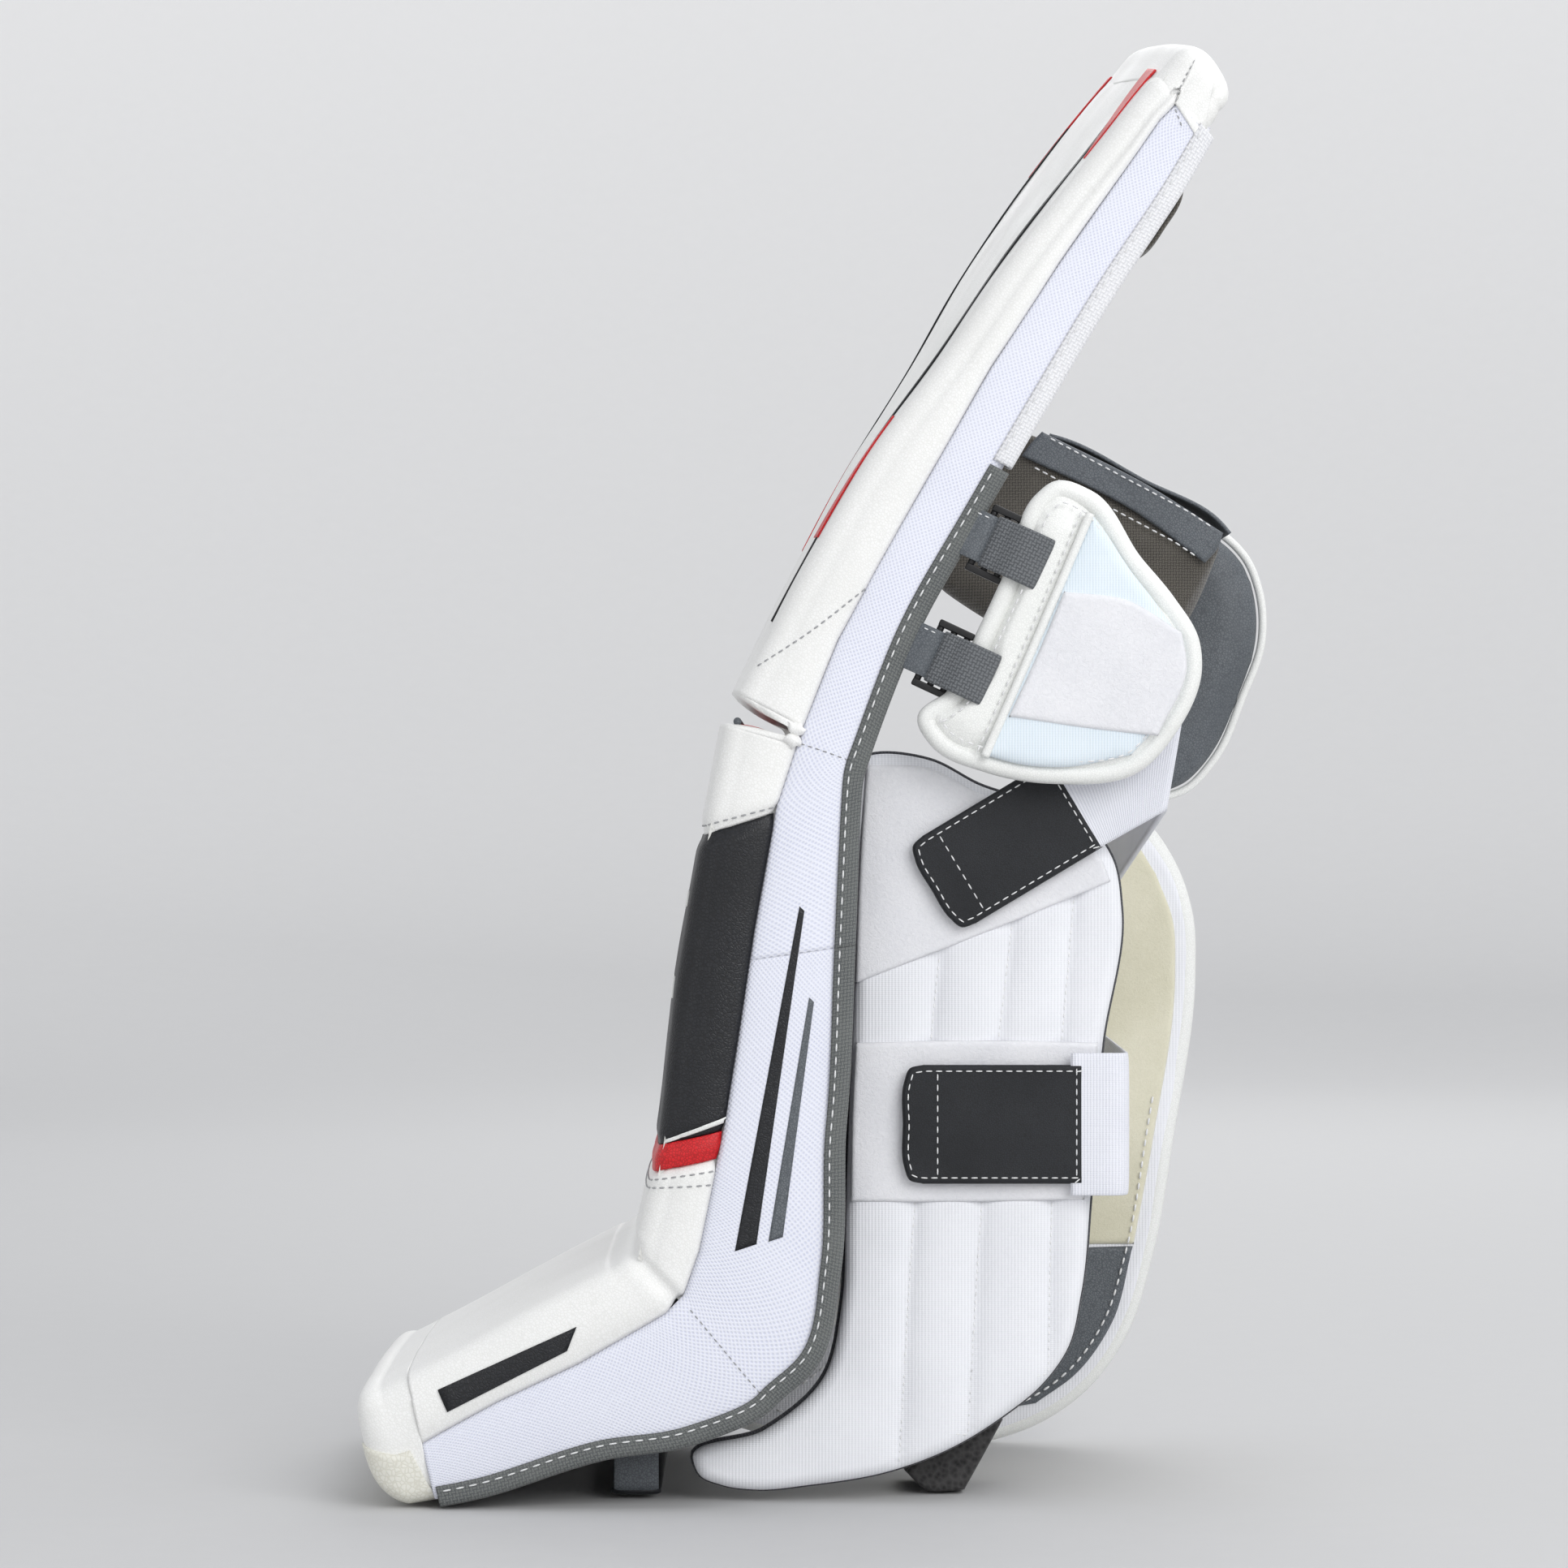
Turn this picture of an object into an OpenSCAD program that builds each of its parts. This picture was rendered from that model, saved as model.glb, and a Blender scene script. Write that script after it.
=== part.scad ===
// Junior ice hockey goalkeeper's leg pad, for the left leg.
// +Z is up, +X points to the back of the leg and -Y to the outside of the leg.
// The origin is on the floor, under the middle of the pad.

/* [Pad] */
// Width of the pad across the leg
pad_w = 254; // [230:1:270]
// Thickness of the leather skins, side panels and back panels
skin_t = 3; // [2:0.5:4]
// Part of the pad's thickness that the front leather covers on each side
face_wrap = 0.45; // [0.35:0.01:0.55]
// Width of the edge binding
binding_w = 10; // [6:1:14]
// Thickness of the edge binding
binding_t = 3; // [2:0.5:4]
// Lean of the thigh rise from upright, in degrees
thigh_lean = 28; // [24:1:30]

/* [Calf wings] */
// Distance from the middle of the pad to each calf wing's outer face
wing_out = 107; // [105:0.5:108]
// Thickness of a calf wing
wing_t = 12; // [8:1:14]
// Thickness of a loop patch on a wing
patch_t = 1.5; // [1:0.5:2]

/* [Straps] */
// Distance from the middle of the pad to the straps' outer face
strap_out = 114.7; // [113:0.1:116]
// Thickness of a knit elastic
elastic_t = 2.4; // [1.5:0.1:3]
// Height of the calf elastic
calf_elastic_h = 60; // [50:1:64]
// Height of the calf strap's pull tab
calf_tab_h = 50; // [40:1:56]
// Width of the knee elastic
knee_elastic_w = 42; // [36:1:46]
// Slope of the knee strap's outer run, in degrees
knee_strap_slope = 31; // [28:1:34]

/* [Knee cradle] */
// Thickness of the outer knee wing
knee_wing_t = 14; // [10:1:14]
// Width of the webbing that the ladder-lock buckles hold
webbing_w = 23; // [20:1:25]
// Lean of the knee wing's fold line from upright, in degrees
knee_fold_lean = 25; // [24:1:26]
// Radius of a buckle's bars
bar_r = 1.5; // [1.2:0.1:1.6]
// Running clearance of a buckle's bar in its tab
bar_clear = 0.2; // [0.1:0.05:0.3]

/* [Hidden] */
$fn = 48;

half_w = pad_w / 2;
fit_gap = 0.3;

// Side profile of the pad, as stations [front x, front z, back x, back z, rise, lift].
// rise and lift say how far the inner side stands forward of the outer side and above it,
// square to the thigh's lean and along it.
BOOT = [
    [-199, 46, -186, 1, 0, 0],
    [-160, 66, -148, 8, 0, 0],
    [-120, 88, -96, 24, 0, 0],
    [-98, 99, -60, 30, 0, 0],
    [-90, 103, -30, 43, 0, 0]
];
SHIN = [
    [-85, 107, -26, 47, 0, 0],
    [-83, 115, -10, 62, 0, 0],
    [-80, 128, -1, 100, 0, 0],
    [-77, 141, 1, 156, 0, 0],
    [-75, 152, 2, 168, 0, 0],
    [-66, 225, 5, 235, 0, 0],
    [-56, 282, 8, 300, 0, 0],
    [-47, 328, 10, 311, 0, 0]
];
THIGH = [
    [-41, 341, 11, 314, 3, 0],
    [-14, 392, 32, 368, 6, 0],
    [14, 440, 59, 416, 9, 0],
    [47, 485, 87, 464, 14, 0],
    [77, 528, 114, 509, 19, 0],
    [111, 570, 143, 553, 22, 12],
    [137, 602, 157, 577, 20, 22]
];
TOP = [
    [137, 602, 157, 577, 20, 22],
    [145, 610, 161, 584, 20, 25],
    [151, 612, 163, 592, 19, 25]
];

// Point where the thigh rise folds against the shin
knee = [11, 312.5];

// ---- lofting ----

function unit(v) = v / norm(v);
function front_of(st) = [st[0], st[1]];
function back_of(st) = [st[2], st[3]];
function depth_of(st) = norm(back_of(st) - front_of(st));

// The shift of a station at width y: none on the outer side and all of it on the inner side
function shift_of(st, y) =
    (y + half_w) / pad_w * (st[4] * [-cos(thigh_lean), sin(thigh_lean)]
        + st[5] * [sin(thigh_lean), cos(thigh_lean)]);

// The point d behind the front surface of a station, at width y
function point_at(st, d, y) =
    let (p = front_of(st) + unit(back_of(st) - front_of(st)) * d + shift_of(st, y))
    [p[0], y, p[1]];

// A ring of points from a list of [d, y]
function ring_at(st, pairs) = [for (q = pairs) point_at(st, q[0], q[1])];

// A closed solid through rings that have the same even number of points. In each ring the second
// half runs back beside the first, so that a strip of triangles closes the two ends. Both halves
// are cut into triangles the same way, so that stacked pieces fit each other on a twisted pad.
module loft(rings) {
    n = len(rings[0]);
    last = n * (len(rings) - 1);
    sides = [
        for (i = [0:len(rings) - 2]) for (j = [0:n - 1])
            let (a = i * n + j, b = i * n + (j + 1) % n)
            each j < n / 2 ? [[a, b, b + n], [a, b + n, a + n]] : [[a, b, a + n], [b, b + n, a + n]]
    ];
    starts = [
        for (j = [0:n / 2 - 2])
            each [[n - 1 - j, n - 2 - j, j + 1], [n - 1 - j, j + 1, j]]
    ];
    finishes = [for (t = starts) [last + t[2], last + t[1], last + t[0]]];
    polyhedron(points = [for (r = rings) each r], faces = concat(sides, starts, finishes));
}

// A bar through the stations between two depths and two widths
module bar_along(stations, d0, d1, y0, y1) {
    loft([for (st = stations) ring_at(st, [[d0, y0], [d0, y1], [d1, y1], [d1, y0]])]);
}

// The foam inside the skins
module core_along(stations) {
    inset = skin_t + fit_gap;
    w = half_w - inset;
    loft([for (st = stations)
        let (b = depth_of(st) - inset)
        ring_at(st, [[inset, -w], [inset, w], [b, w], [b, -w]])]);
}

// The leather over the front and round both front corners
module face_along(stations) {
    w = half_w;
    loft([for (st = stations)
        let (s = face_wrap * depth_of(st))
        ring_at(st, [
            [s, -w], [0, -w], [0, w], [s, w],
            [s, w - skin_t], [skin_t, w - skin_t], [skin_t, -w + skin_t], [s, -w + skin_t]
        ])]);
}

// A mesh side panel: side is -1 on the outside of the leg and 1 on the inside
module gusset_along(stations, side) {
    y_in = side * (half_w - skin_t);
    y_out = side * half_w;
    loft([for (st = stations)
        let (s = face_wrap * depth_of(st) + fit_gap, b = depth_of(st))
        ring_at(st, [
            [s, min(y_in, y_out)], [s, max(y_in, y_out)],
            [b, max(y_in, y_out)], [b, min(y_in, y_out)]
        ])]);
}

// The panel over the back, between the side panels
module back_along(stations) {
    w = half_w - skin_t - fit_gap;
    loft([for (st = stations)
        let (b = depth_of(st))
        ring_at(st, [[b - skin_t, -w], [b - skin_t, w], [b, w], [b, -w]])]);
}

// The tape folded over the back edge of a side panel
module binding_along(stations, side) {
    y_in = side * (half_w - binding_w);
    y_out = side * half_w;
    loft([for (st = stations)
        let (b = depth_of(st) + 2 * fit_gap)
        ring_at(st, [
            [b, min(y_in, y_out)], [b, max(y_in, y_out)],
            [b + binding_t, max(y_in, y_out)], [b + binding_t, min(y_in, y_out)]
        ])]);
}

// ---- flat outlines ----

// A plate from an outline in X and Z, between two widths
module plate(outline, y0, y1) {
    translate([0, y1, 0]) rotate([90, 0, 0]) linear_extrude(y1 - y0) polygon(outline);
}

// An outline moved inwards by d; its points run clockwise
function inset(p, d) =
    let (n = len(p))
    [for (i = [0:n - 1])
        let (
            before = unit(p[i] - p[(i + n - 1) % n]),
            after = unit(p[(i + 1) % n] - p[i]),
            side = unit(before + after)
        )
        p[i] + d * [side[1], -side[0]]];

// A rim of width d inside an outline
module rim(outline, d, y0, y1) {
    difference() {
        plate(outline, y0, y1);
        plate(inset(outline, d), y0 - 1, y1 + 1);
    }
}

// Outline of the outer calf wing, clockwise from its upper front corner
outer_wing = [
    [15, 315], [40, 313], [62, 302], [100, 290], [117, 272], [121, 250], [113, 193],
    [108, 129], [104, 88], [98, 64], [88, 50], [71, 36], [50, 23], [24, 13], [-10, 7],
    [-34, 5], [-50, 8], [-60, 18], [-30, 30], [-4, 52], [6, 84], [8, 122], [12, 190], [14, 250]
];
// Outline of the inner calf wing, clockwise from its upper front corner
inner_wing = [
    [15, 290], [70, 296], [125, 294], [141, 287], [156, 268], [165, 242], [166, 216],
    [156, 141], [146, 85], [135, 51], [118, 27], [96, 11], [76, 2], [20, 0], [-30, 5],
    [-50, 14], [-30, 30], [-4, 52], [6, 84], [8, 122], [12, 190], [14, 250]
];
// Outline of the outer knee wing, clockwise from its top
knee_wing = [
    [91, 427], [105, 423], [125, 396], [139, 379], [149, 362], [150, 352], [139, 325],
    [123, 310], [91, 305], [64, 310], [41, 322], [31, 332], [36, 337], [48, 335], [62, 366],
    [74, 392], [86, 422]
];

// ---- shin ----

module shin_core() { color("gainsboro") core_along(SHIN); }
module shin_face_upper() { color("white") face_along([SHIN[6], SHIN[7]]); }
module shin_face_middle() { color("#232529") face_along([SHIN[4], SHIN[5], SHIN[6]]); }
module shin_chevron() { color("firebrick") face_along([SHIN[3], SHIN[4]]); }
module shin_face_lower() { color("white") face_along([for (i = [0:3]) SHIN[i]]); }
module shin_gusset_outer() { color("lavender") gusset_along(SHIN, -1); }
module shin_gusset_inner() { color("lavender") gusset_along(SHIN, 1); }
module shin_back_panel() { color("dimgray") back_along(SHIN); }
module shin_binding_outer() { color("gray") binding_along(SHIN, -1); }
module shin_binding_inner() { color("gray") binding_along(SHIN, 1); }

// The padded liner that the leg rests on
module shin_cushion() {
    cushion_t = 12;
    cushion_w = 140;
    color("beige")
        loft([for (st = [SHIN[2], SHIN[3], SHIN[5], SHIN[6]])
            let (b = depth_of(st) + 0.5, w = cushion_w / 2)
            ring_at(st, [[b, -w], [b, w], [b + cushion_t, w], [b + cushion_t, -w]])]);
}

// The red strip sewn into the fold above the shin
module knee_fold_insert() {
    color("firebrick") plate([[-40, 328.6], [-24, 323.9], [-24, 321.4], [-40, 326.1]],
        -half_w + 6, half_w - 6);
}

// The foam block that props the heel end of the leg channel
module heel_wedge() {
    color("dimgray") plate([[28, 9], [52, 36], [74, 32], [56, 0], [39, 0]], -80, -30);
}

// ---- thigh ----

module thigh_core() { color("gainsboro") core_along(THIGH); }
module thigh_face() { color("white") face_along(THIGH); }
module thigh_gusset_outer() { color("lavender") gusset_along(THIGH, -1); }
module thigh_gusset_inner() { color("lavender") gusset_along(THIGH, 1); }
module thigh_back_panel() { color("whitesmoke") back_along(THIGH); }
module thigh_binding_outer() { color("gray") binding_along(THIGH, -1); }
module thigh_binding_inner() { color("gray") binding_along(THIGH, 1); }

// The leather that closes the top end
module thigh_top_cap() {
    color("white")
        loft([for (st = TOP) ring_at(st, [
            [0, -half_w], [0, half_w], [depth_of(st), half_w], [depth_of(st), -half_w]])]);
}

// The webbing loop across the back of the thigh rise, by which the pad hangs
module hang_loop() {
    loop_w = 25;
    loop_lean = 33.4;
    color("dimgray") translate([THIGH[4][2] - 1, 0, THIGH[4][3]]) rotate([0, loop_lean, 0])
        plate([[0.2, 16], [0.2, 20], [2.8, 24.5], [2.8, 51.5], [0.2, 56], [0.2, 60], [2.2, 60],
            [5, 54], [5, 22], [2.2, 16]], -half_w + binding_w + 1, -half_w + binding_w + 1 + loop_w);
}

// Puts a piece on the knee wing's fold line, z along it and x away from the pad
module on_fold(along) {
    translate([42.5, -half_w, 365]) rotate([0, knee_fold_lean, 0]) translate([0, 0, along])
        children();
}
upper_along = 45;
lower_along = -8;

// A folded vinyl tab that holds a buckle's first bar; reach is its length to the pad's back edge
module buckle_tab(along, reach) {
    tab_h = webbing_w - 1;
    eye_r = bar_r + bar_clear + 1.2;
    color("slategray") on_fold(along) difference() {
        union() {
            translate([0, 0, -tab_h / 2]) cylinder(r = eye_r, h = tab_h);
            translate([-reach, 0, -tab_h / 2]) cube([reach, eye_r, tab_h]);
        }
        translate([0, 0, -tab_h]) cylinder(r = bar_r + bar_clear, h = 2 * tab_h);
    }
}
module upper_buckle_tab() { buckle_tab(upper_along, 2.6); }
module lower_buckle_tab() { buckle_tab(lower_along, 6.1); }

// ---- boot ----

boot_shell = [for (i = [1:4]) BOOT[i]];
module boot_core() { color("gainsboro") core_along(boot_shell); }
module boot_face() { color("white") face_along(boot_shell); }
module boot_gusset_outer() { color("lavender") gusset_along(boot_shell, -1); }
module boot_gusset_inner() { color("lavender") gusset_along(boot_shell, 1); }
module boot_sole() { color("dimgray") back_along(boot_shell); }
module boot_binding_outer() { color("gray") binding_along(boot_shell, -1); }
module boot_binding_inner() { color("gray") binding_along(boot_shell, 1); }

// The abrasion-resistant cap over the toe end
module toe_cap() {
    color("white") plate([[-199, 46], [-160.5, 65.5], [-148.5, 7.5], [-164, 3], [-186, 0],
        [-196, 20]], -half_w, half_w);
}

strap_pin = [-84, 23];

// The strap under the skate, between its two end loops
module boot_strap() {
    color("#232529") translate([strap_pin[0] - 11, -97, 3]) cube([22, 194, 2.5]);
}

// The vinyl loops that hang the boot strap from the sole's edges
module boot_strap_loops() {
    for (side = [-1, 1])
        color("slategray") translate([strap_pin[0], side * 100, strap_pin[1]])
            plate([[-3, -1], [3, -1], [12, -17], [12, -20], [-12, -20], [-12, -17]], -3, 3);
}

// ---- calf wings ----

module outer_calf_wing() { color("white") plate(outer_wing, -wing_out, -wing_out + wing_t); }

// The brushed loop fabric over the upper part of the outer wing
module outer_loop_field() {
    color("snow") plate([[22, 311], [38, 310], [60, 300], [98, 286], [114, 266], [30, 220], [20, 225]],
        -wing_out - patch_t, -wing_out);
}

// The loop band that the calf strap's tab grips
module outer_loop_band() {
    color("snow") plate([[18, 194], [108, 194], [104, 127], [14, 127]],
        -wing_out - patch_t, -wing_out);
}

module inner_calf_wing() {
    color("white") plate(inset(inner_wing, 5.3), wing_out - wing_t, wing_out);
}
module inner_wing_piping() {
    color("white") rim(inner_wing, 5, wing_out - wing_t - 1, wing_out + 1);
}

liner_t = 2;
liner_face = wing_out - wing_t;
module inner_wing_liner() {
    color("beige") plate([[30, 282], [118, 282], [140, 270], [152, 240], [152, 216], [143, 141],
        [134, 90], [20, 90], [24, 190]], liner_face - liner_t, liner_face);
}

// The hard-wearing patch over the lower part of the inner wing
module inner_wing_guard() {
    color("dimgray") plate([[20, 89], [134, 89], [124, 56], [110, 38], [92, 24], [20, 20]],
        liner_face - liner_t, liner_face);
}

// ---- straps ----

// Fold lines of the two straps, on the inside of the inner wing
strap_root_y = liner_face - liner_t - 2;
calf_root_x = 123;
knee_corner_x = 143;
knee_root_x = 119;
calf_strap_z = 160;

module calf_strap_elastic() {
    z0 = calf_strap_z - calf_elastic_h / 2;
    color("white") {
        translate([calf_root_x - elastic_t / 2, -strap_out, z0])
            cube([elastic_t, strap_out + strap_root_y, calf_elastic_h]);
        translate([102.3, -strap_out, z0])
            cube([calf_root_x - 102.3, elastic_t, calf_elastic_h]);
    }
}

module calf_strap_tab() {
    z0 = calf_strap_z - calf_tab_h / 2;
    color("#232529") plate([[102, z0], [34, z0], [29, z0 + 5], [29, z0 + calf_tab_h - 5],
        [34, z0 + calf_tab_h], [102, z0 + calf_tab_h]], -strap_out, -strap_out + elastic_t);
}

// Puts a piece on the knee strap's outer run: x along it from the corner, towards the tab
module on_knee_run() {
    translate([knee_corner_x, 0, 320]) rotate([0, -knee_strap_slope, 0]) children();
}

// The elastic folds round a slanting line at the end of its run, then slopes in and down
module knee_strap_elastic() {
    h = knee_elastic_w / 2;
    color("white") {
        on_knee_run() plate([[-49.5, -h], [-16.9, -h], [19.3, h], [-49.5, h]],
            -strap_out, -strap_out + elastic_t);
        loft([
            [[149.3, -strap_out, 347.1], [149.3 - elastic_t, -strap_out, 347.1],
                [139.9 - elastic_t, -strap_out, 292.4], [139.9, -strap_out, 292.4]],
            [[knee_root_x + 1, strap_root_y, 281], [knee_root_x - 1, strap_root_y, 281],
                [knee_root_x - 1, strap_root_y, 239], [knee_root_x + 1, strap_root_y, 239]]]);
    }
}

module knee_strap_tab() {
    h = knee_elastic_w / 2;
    color("#232529") on_knee_run() plate([[-49.8, -h], [-112, -h], [-118, -h + 6],
        [-118, h - 6], [-112, h], [-49.8, h]], -strap_out, -strap_out + elastic_t);
}

// ---- knee wing ----

knee_wing_in = -half_w + knee_wing_t / 2;
knee_wing_face = -half_w - knee_wing_t / 2;
module knee_wing_pad() {
    color("white") plate(inset(knee_wing, 4.3), knee_wing_face, knee_wing_in);
}
module knee_wing_binding() {
    color("white") rim(knee_wing, 4, knee_wing_face - 0.5, knee_wing_in + 0.5);
}

// The quilted panel over the rear half of the wing
module knee_wing_textile() {
    color("lightcyan") plate([[106, 412], [121, 391], [134, 375], [143, 360], [144, 352],
        [134, 328], [120, 315], [91, 310], [72, 313]], knee_wing_face - patch_t, knee_wing_face);
}

// The brushed band across the panel, which the knee strap can grip
module knee_wing_loop_band() {
    color("snow") plate([[104, 378], [141, 361], [142, 352], [133, 330], [92, 327]],
        knee_wing_face - 2 * patch_t, knee_wing_face - patch_t);
}

// A ladder-lock buckle: two rails and three bars
module buckle(along) {
    rail_z = webbing_w / 2 + 0.5;
    rail_t = 3;
    color("#1c1c1e") on_fold(along) {
        for (x = [0, 6, 12])
            translate([x, 0, -rail_z - 1]) cylinder(r = bar_r, h = 2 * rail_z + 2);
        for (z = [-rail_z - rail_t, rail_z])
            translate([-1.6, -2, z]) cube([16.1, 4, rail_t]);
    }
}
module upper_buckle() { buckle(upper_along); }
module lower_buckle() { buckle(lower_along); }

// The grey elastic webbing from a buckle over the wing's face
module webbing(along) {
    top = knee_wing_t / 2 + 0.6;
    color("gray") on_fold(along) translate([0, 0, -webbing_w / 2]) linear_extrude(webbing_w)
        polygon([[8, -4.8], [14.5, -top - 1.8], [36, -top - 1.8], [36, -top], [15.3, -top],
            [9, -3.2]]);
}
module upper_webbing() { webbing(upper_along); }
module lower_webbing() { webbing(lower_along); }

// ---- knee block ----

block_in = 62;
block_out = 111.5;

// Puts a piece in the thigh's own lean, z along it and x behind its back
module on_thigh() {
    translate([knee[0], 0, knee[1]]) rotate([0, thigh_lean, 0]) children();
}

module knee_block_base() {
    color("#58554f") on_thigh() translate([-11, block_in, 86])
        cube([115, block_out - block_in, 86]);
}
module knee_block_band() {
    color("slategray") on_thigh() translate([6, block_in + 2, 172.2])
        cube([96, block_out - block_in - 4, 4]);
}
pad_outline = [
    [70, 172], [102, 173], [115, 169], [128, 158], [140, 138], [144, 112], [146, 78], [140, 60],
    [131, 53], [84, 56], [74, 66]
];
module knee_landing_pad() {
    color("slategray") on_thigh() plate(inset(pad_outline, 3), block_out + 0.9, 137);
}
module knee_landing_piping() {
    color("white") on_thigh() rim(pad_outline, 2.8, 122, 126);
}

shin_core();
shin_face_upper();
shin_face_middle();
shin_chevron();
shin_face_lower();
shin_gusset_outer();
shin_gusset_inner();
shin_back_panel();
shin_binding_outer();
shin_binding_inner();
shin_cushion();
knee_fold_insert();
heel_wedge();
thigh_core();
thigh_face();
thigh_top_cap();
thigh_gusset_outer();
thigh_gusset_inner();
thigh_back_panel();
thigh_binding_outer();
thigh_binding_inner();
hang_loop();
upper_buckle_tab();
lower_buckle_tab();
boot_core();
boot_face();
toe_cap();
boot_gusset_outer();
boot_gusset_inner();
boot_sole();
boot_binding_outer();
boot_binding_inner();
boot_strap();
boot_strap_loops();
outer_calf_wing();
outer_loop_field();
outer_loop_band();
inner_calf_wing();
inner_wing_liner();
inner_wing_piping();
inner_wing_guard();
calf_strap_elastic();
calf_strap_tab();
knee_strap_elastic();
knee_strap_tab();
knee_wing_pad();
knee_wing_binding();
knee_wing_textile();
knee_wing_loop_band();
upper_buckle();
lower_buckle();
upper_webbing();
lower_webbing();
knee_block_base();
knee_block_band();
knee_landing_pad();
knee_landing_piping();
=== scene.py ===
# %% [markdown]
# # A junior ice hockey goalkeeper's leg pad
# The pad has a foam body in synthetic leather, mesh sides, two wings that wrap the calf, a knee
# cradle with a quilted wing and a landing block, and elastic straps with grip tabs.
# The moving frame comes from the CAD model, and every visible surface is made here round it.
# Lengths in the tables are in millimetres, as on a pattern cutter's sheet, and mm() makes them
# metres.

# %% Frame and sizes
import math

import bpy
import numpy as np
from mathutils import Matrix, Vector
from mathutils.bvhtree import BVHTree


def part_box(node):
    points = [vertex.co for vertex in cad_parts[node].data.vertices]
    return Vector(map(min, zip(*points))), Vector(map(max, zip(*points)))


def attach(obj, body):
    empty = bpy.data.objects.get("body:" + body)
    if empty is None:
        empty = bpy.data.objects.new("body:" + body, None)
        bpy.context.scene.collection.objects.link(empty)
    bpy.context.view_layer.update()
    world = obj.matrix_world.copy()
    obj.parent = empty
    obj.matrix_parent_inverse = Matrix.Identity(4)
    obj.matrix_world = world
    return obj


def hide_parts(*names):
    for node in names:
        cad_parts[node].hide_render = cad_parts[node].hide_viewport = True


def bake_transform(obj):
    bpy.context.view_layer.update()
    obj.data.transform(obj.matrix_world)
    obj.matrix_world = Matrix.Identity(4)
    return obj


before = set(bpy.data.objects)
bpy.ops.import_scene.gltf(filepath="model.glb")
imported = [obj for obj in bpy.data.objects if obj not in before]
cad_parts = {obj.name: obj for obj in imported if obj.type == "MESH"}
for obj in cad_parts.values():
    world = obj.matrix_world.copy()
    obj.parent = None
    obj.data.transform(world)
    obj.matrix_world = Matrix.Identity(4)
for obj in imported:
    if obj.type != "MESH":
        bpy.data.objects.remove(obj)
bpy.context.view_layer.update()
scene = bpy.context.scene


def mm(values):
    """Millimetres as metres, in an array."""
    return np.asarray(values, float) / 1000


# %% [markdown]
# ## Camera, floor and light
# A product picture of a pad is taken side on with a long lens, so that its profile isn't
# distorted. A white studio sweep could be a bent sheet of paper, but this object is seen from all
# sides, so the sweep is a shallow round bowl: a flat floor that turns up into a wall all the way
# round. Big soft lamps, as large as softboxes, give broad shadows.

# %% Camera, floor and light
LENS_MM = 123.7
EYE = (-0.0215, -2.377, 0.303)

camera = bpy.data.objects.new("camera", bpy.data.cameras.new("camera"))
scene.collection.objects.link(camera)
camera.data.sensor_width = 36
camera.data.lens = LENS_MM
camera.location = EYE
camera.rotation_euler = (math.radians(90), 0, 0)
scene.camera = camera
scene.view_settings.view_transform = "Standard"

world = bpy.data.worlds.new("studio")
world.use_nodes = True
world.node_tree.nodes["Background"].inputs["Color"].default_value = (0.93, 0.95, 1.0, 1)
world.node_tree.nodes["Background"].inputs["Strength"].default_value = 0.55
scene.world = world


def lamp(name, place, aim, size, watts, colour=(1, 1, 1)):
    """A square soft lamp at place that points at aim."""
    light = bpy.data.lights.new(name, "AREA")
    light.size, light.energy, light.color = size, watts, colour
    holder = bpy.data.objects.new(name, light)
    holder.location = place
    holder.rotation_euler = (Vector(aim) - Vector(place)).to_track_quat("-Z", "Y").to_euler()
    scene.collection.objects.link(holder)


lamp("key", (1.5, -2.5, 1.7), (0, 0, 0.3), 2.0, 46)
lamp("fill", (-1.6, -2.6, 0.9), (0, 0, 0.2), 1.6, 5)
lamp("top", (1.0, 0.1, 2.8), (0, 0, 0.2), 2.2, 20)
lamp("rear", (0.5, 2.6, 1.8), (0, 0, 0.3), 2.0, 24)

# %% [markdown]
# ## Small tools for surfaces
# Every piece is a grid of points worked out as whole arrays. A skin is a grid with a wall behind
# it, a pillow is two grids that share a rim, and a tube is an outline carried along a path. One
# function puts the arrays into a mesh and makes sure that the faces point outwards.
# Uneven cloth and leather are made with a few sine waves, with a fixed seed for each piece.


# %% Meshes from arrays
def quads(rows, cols, around=False, first=0):
    """Faces of a grid: each joins a point, the next in its row and the same two in the next row.
    around also joins each row's end to its start."""
    i, j = np.meshgrid(np.arange(rows - 1), np.arange(cols if around else cols - 1), indexing="ij")
    a, b = i * cols + j, i * cols + (j + 1) % cols
    return first + np.stack([a, b, b + cols, a + cols], -1).reshape(-1, 4)


def volume(points, faces):
    """Volume of a closed mesh: the sum of its triangles' corner determinants over six."""
    total = 0.0
    for f in faces:
        f = np.asarray(f)
        for k in range(1, f.shape[1] - 1):
            a, b, c = points[f[:, 0]], points[f[:, k]], points[f[:, k + 1]]
            total += (a * np.cross(b, c)).sum() / 6
    return total


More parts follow.
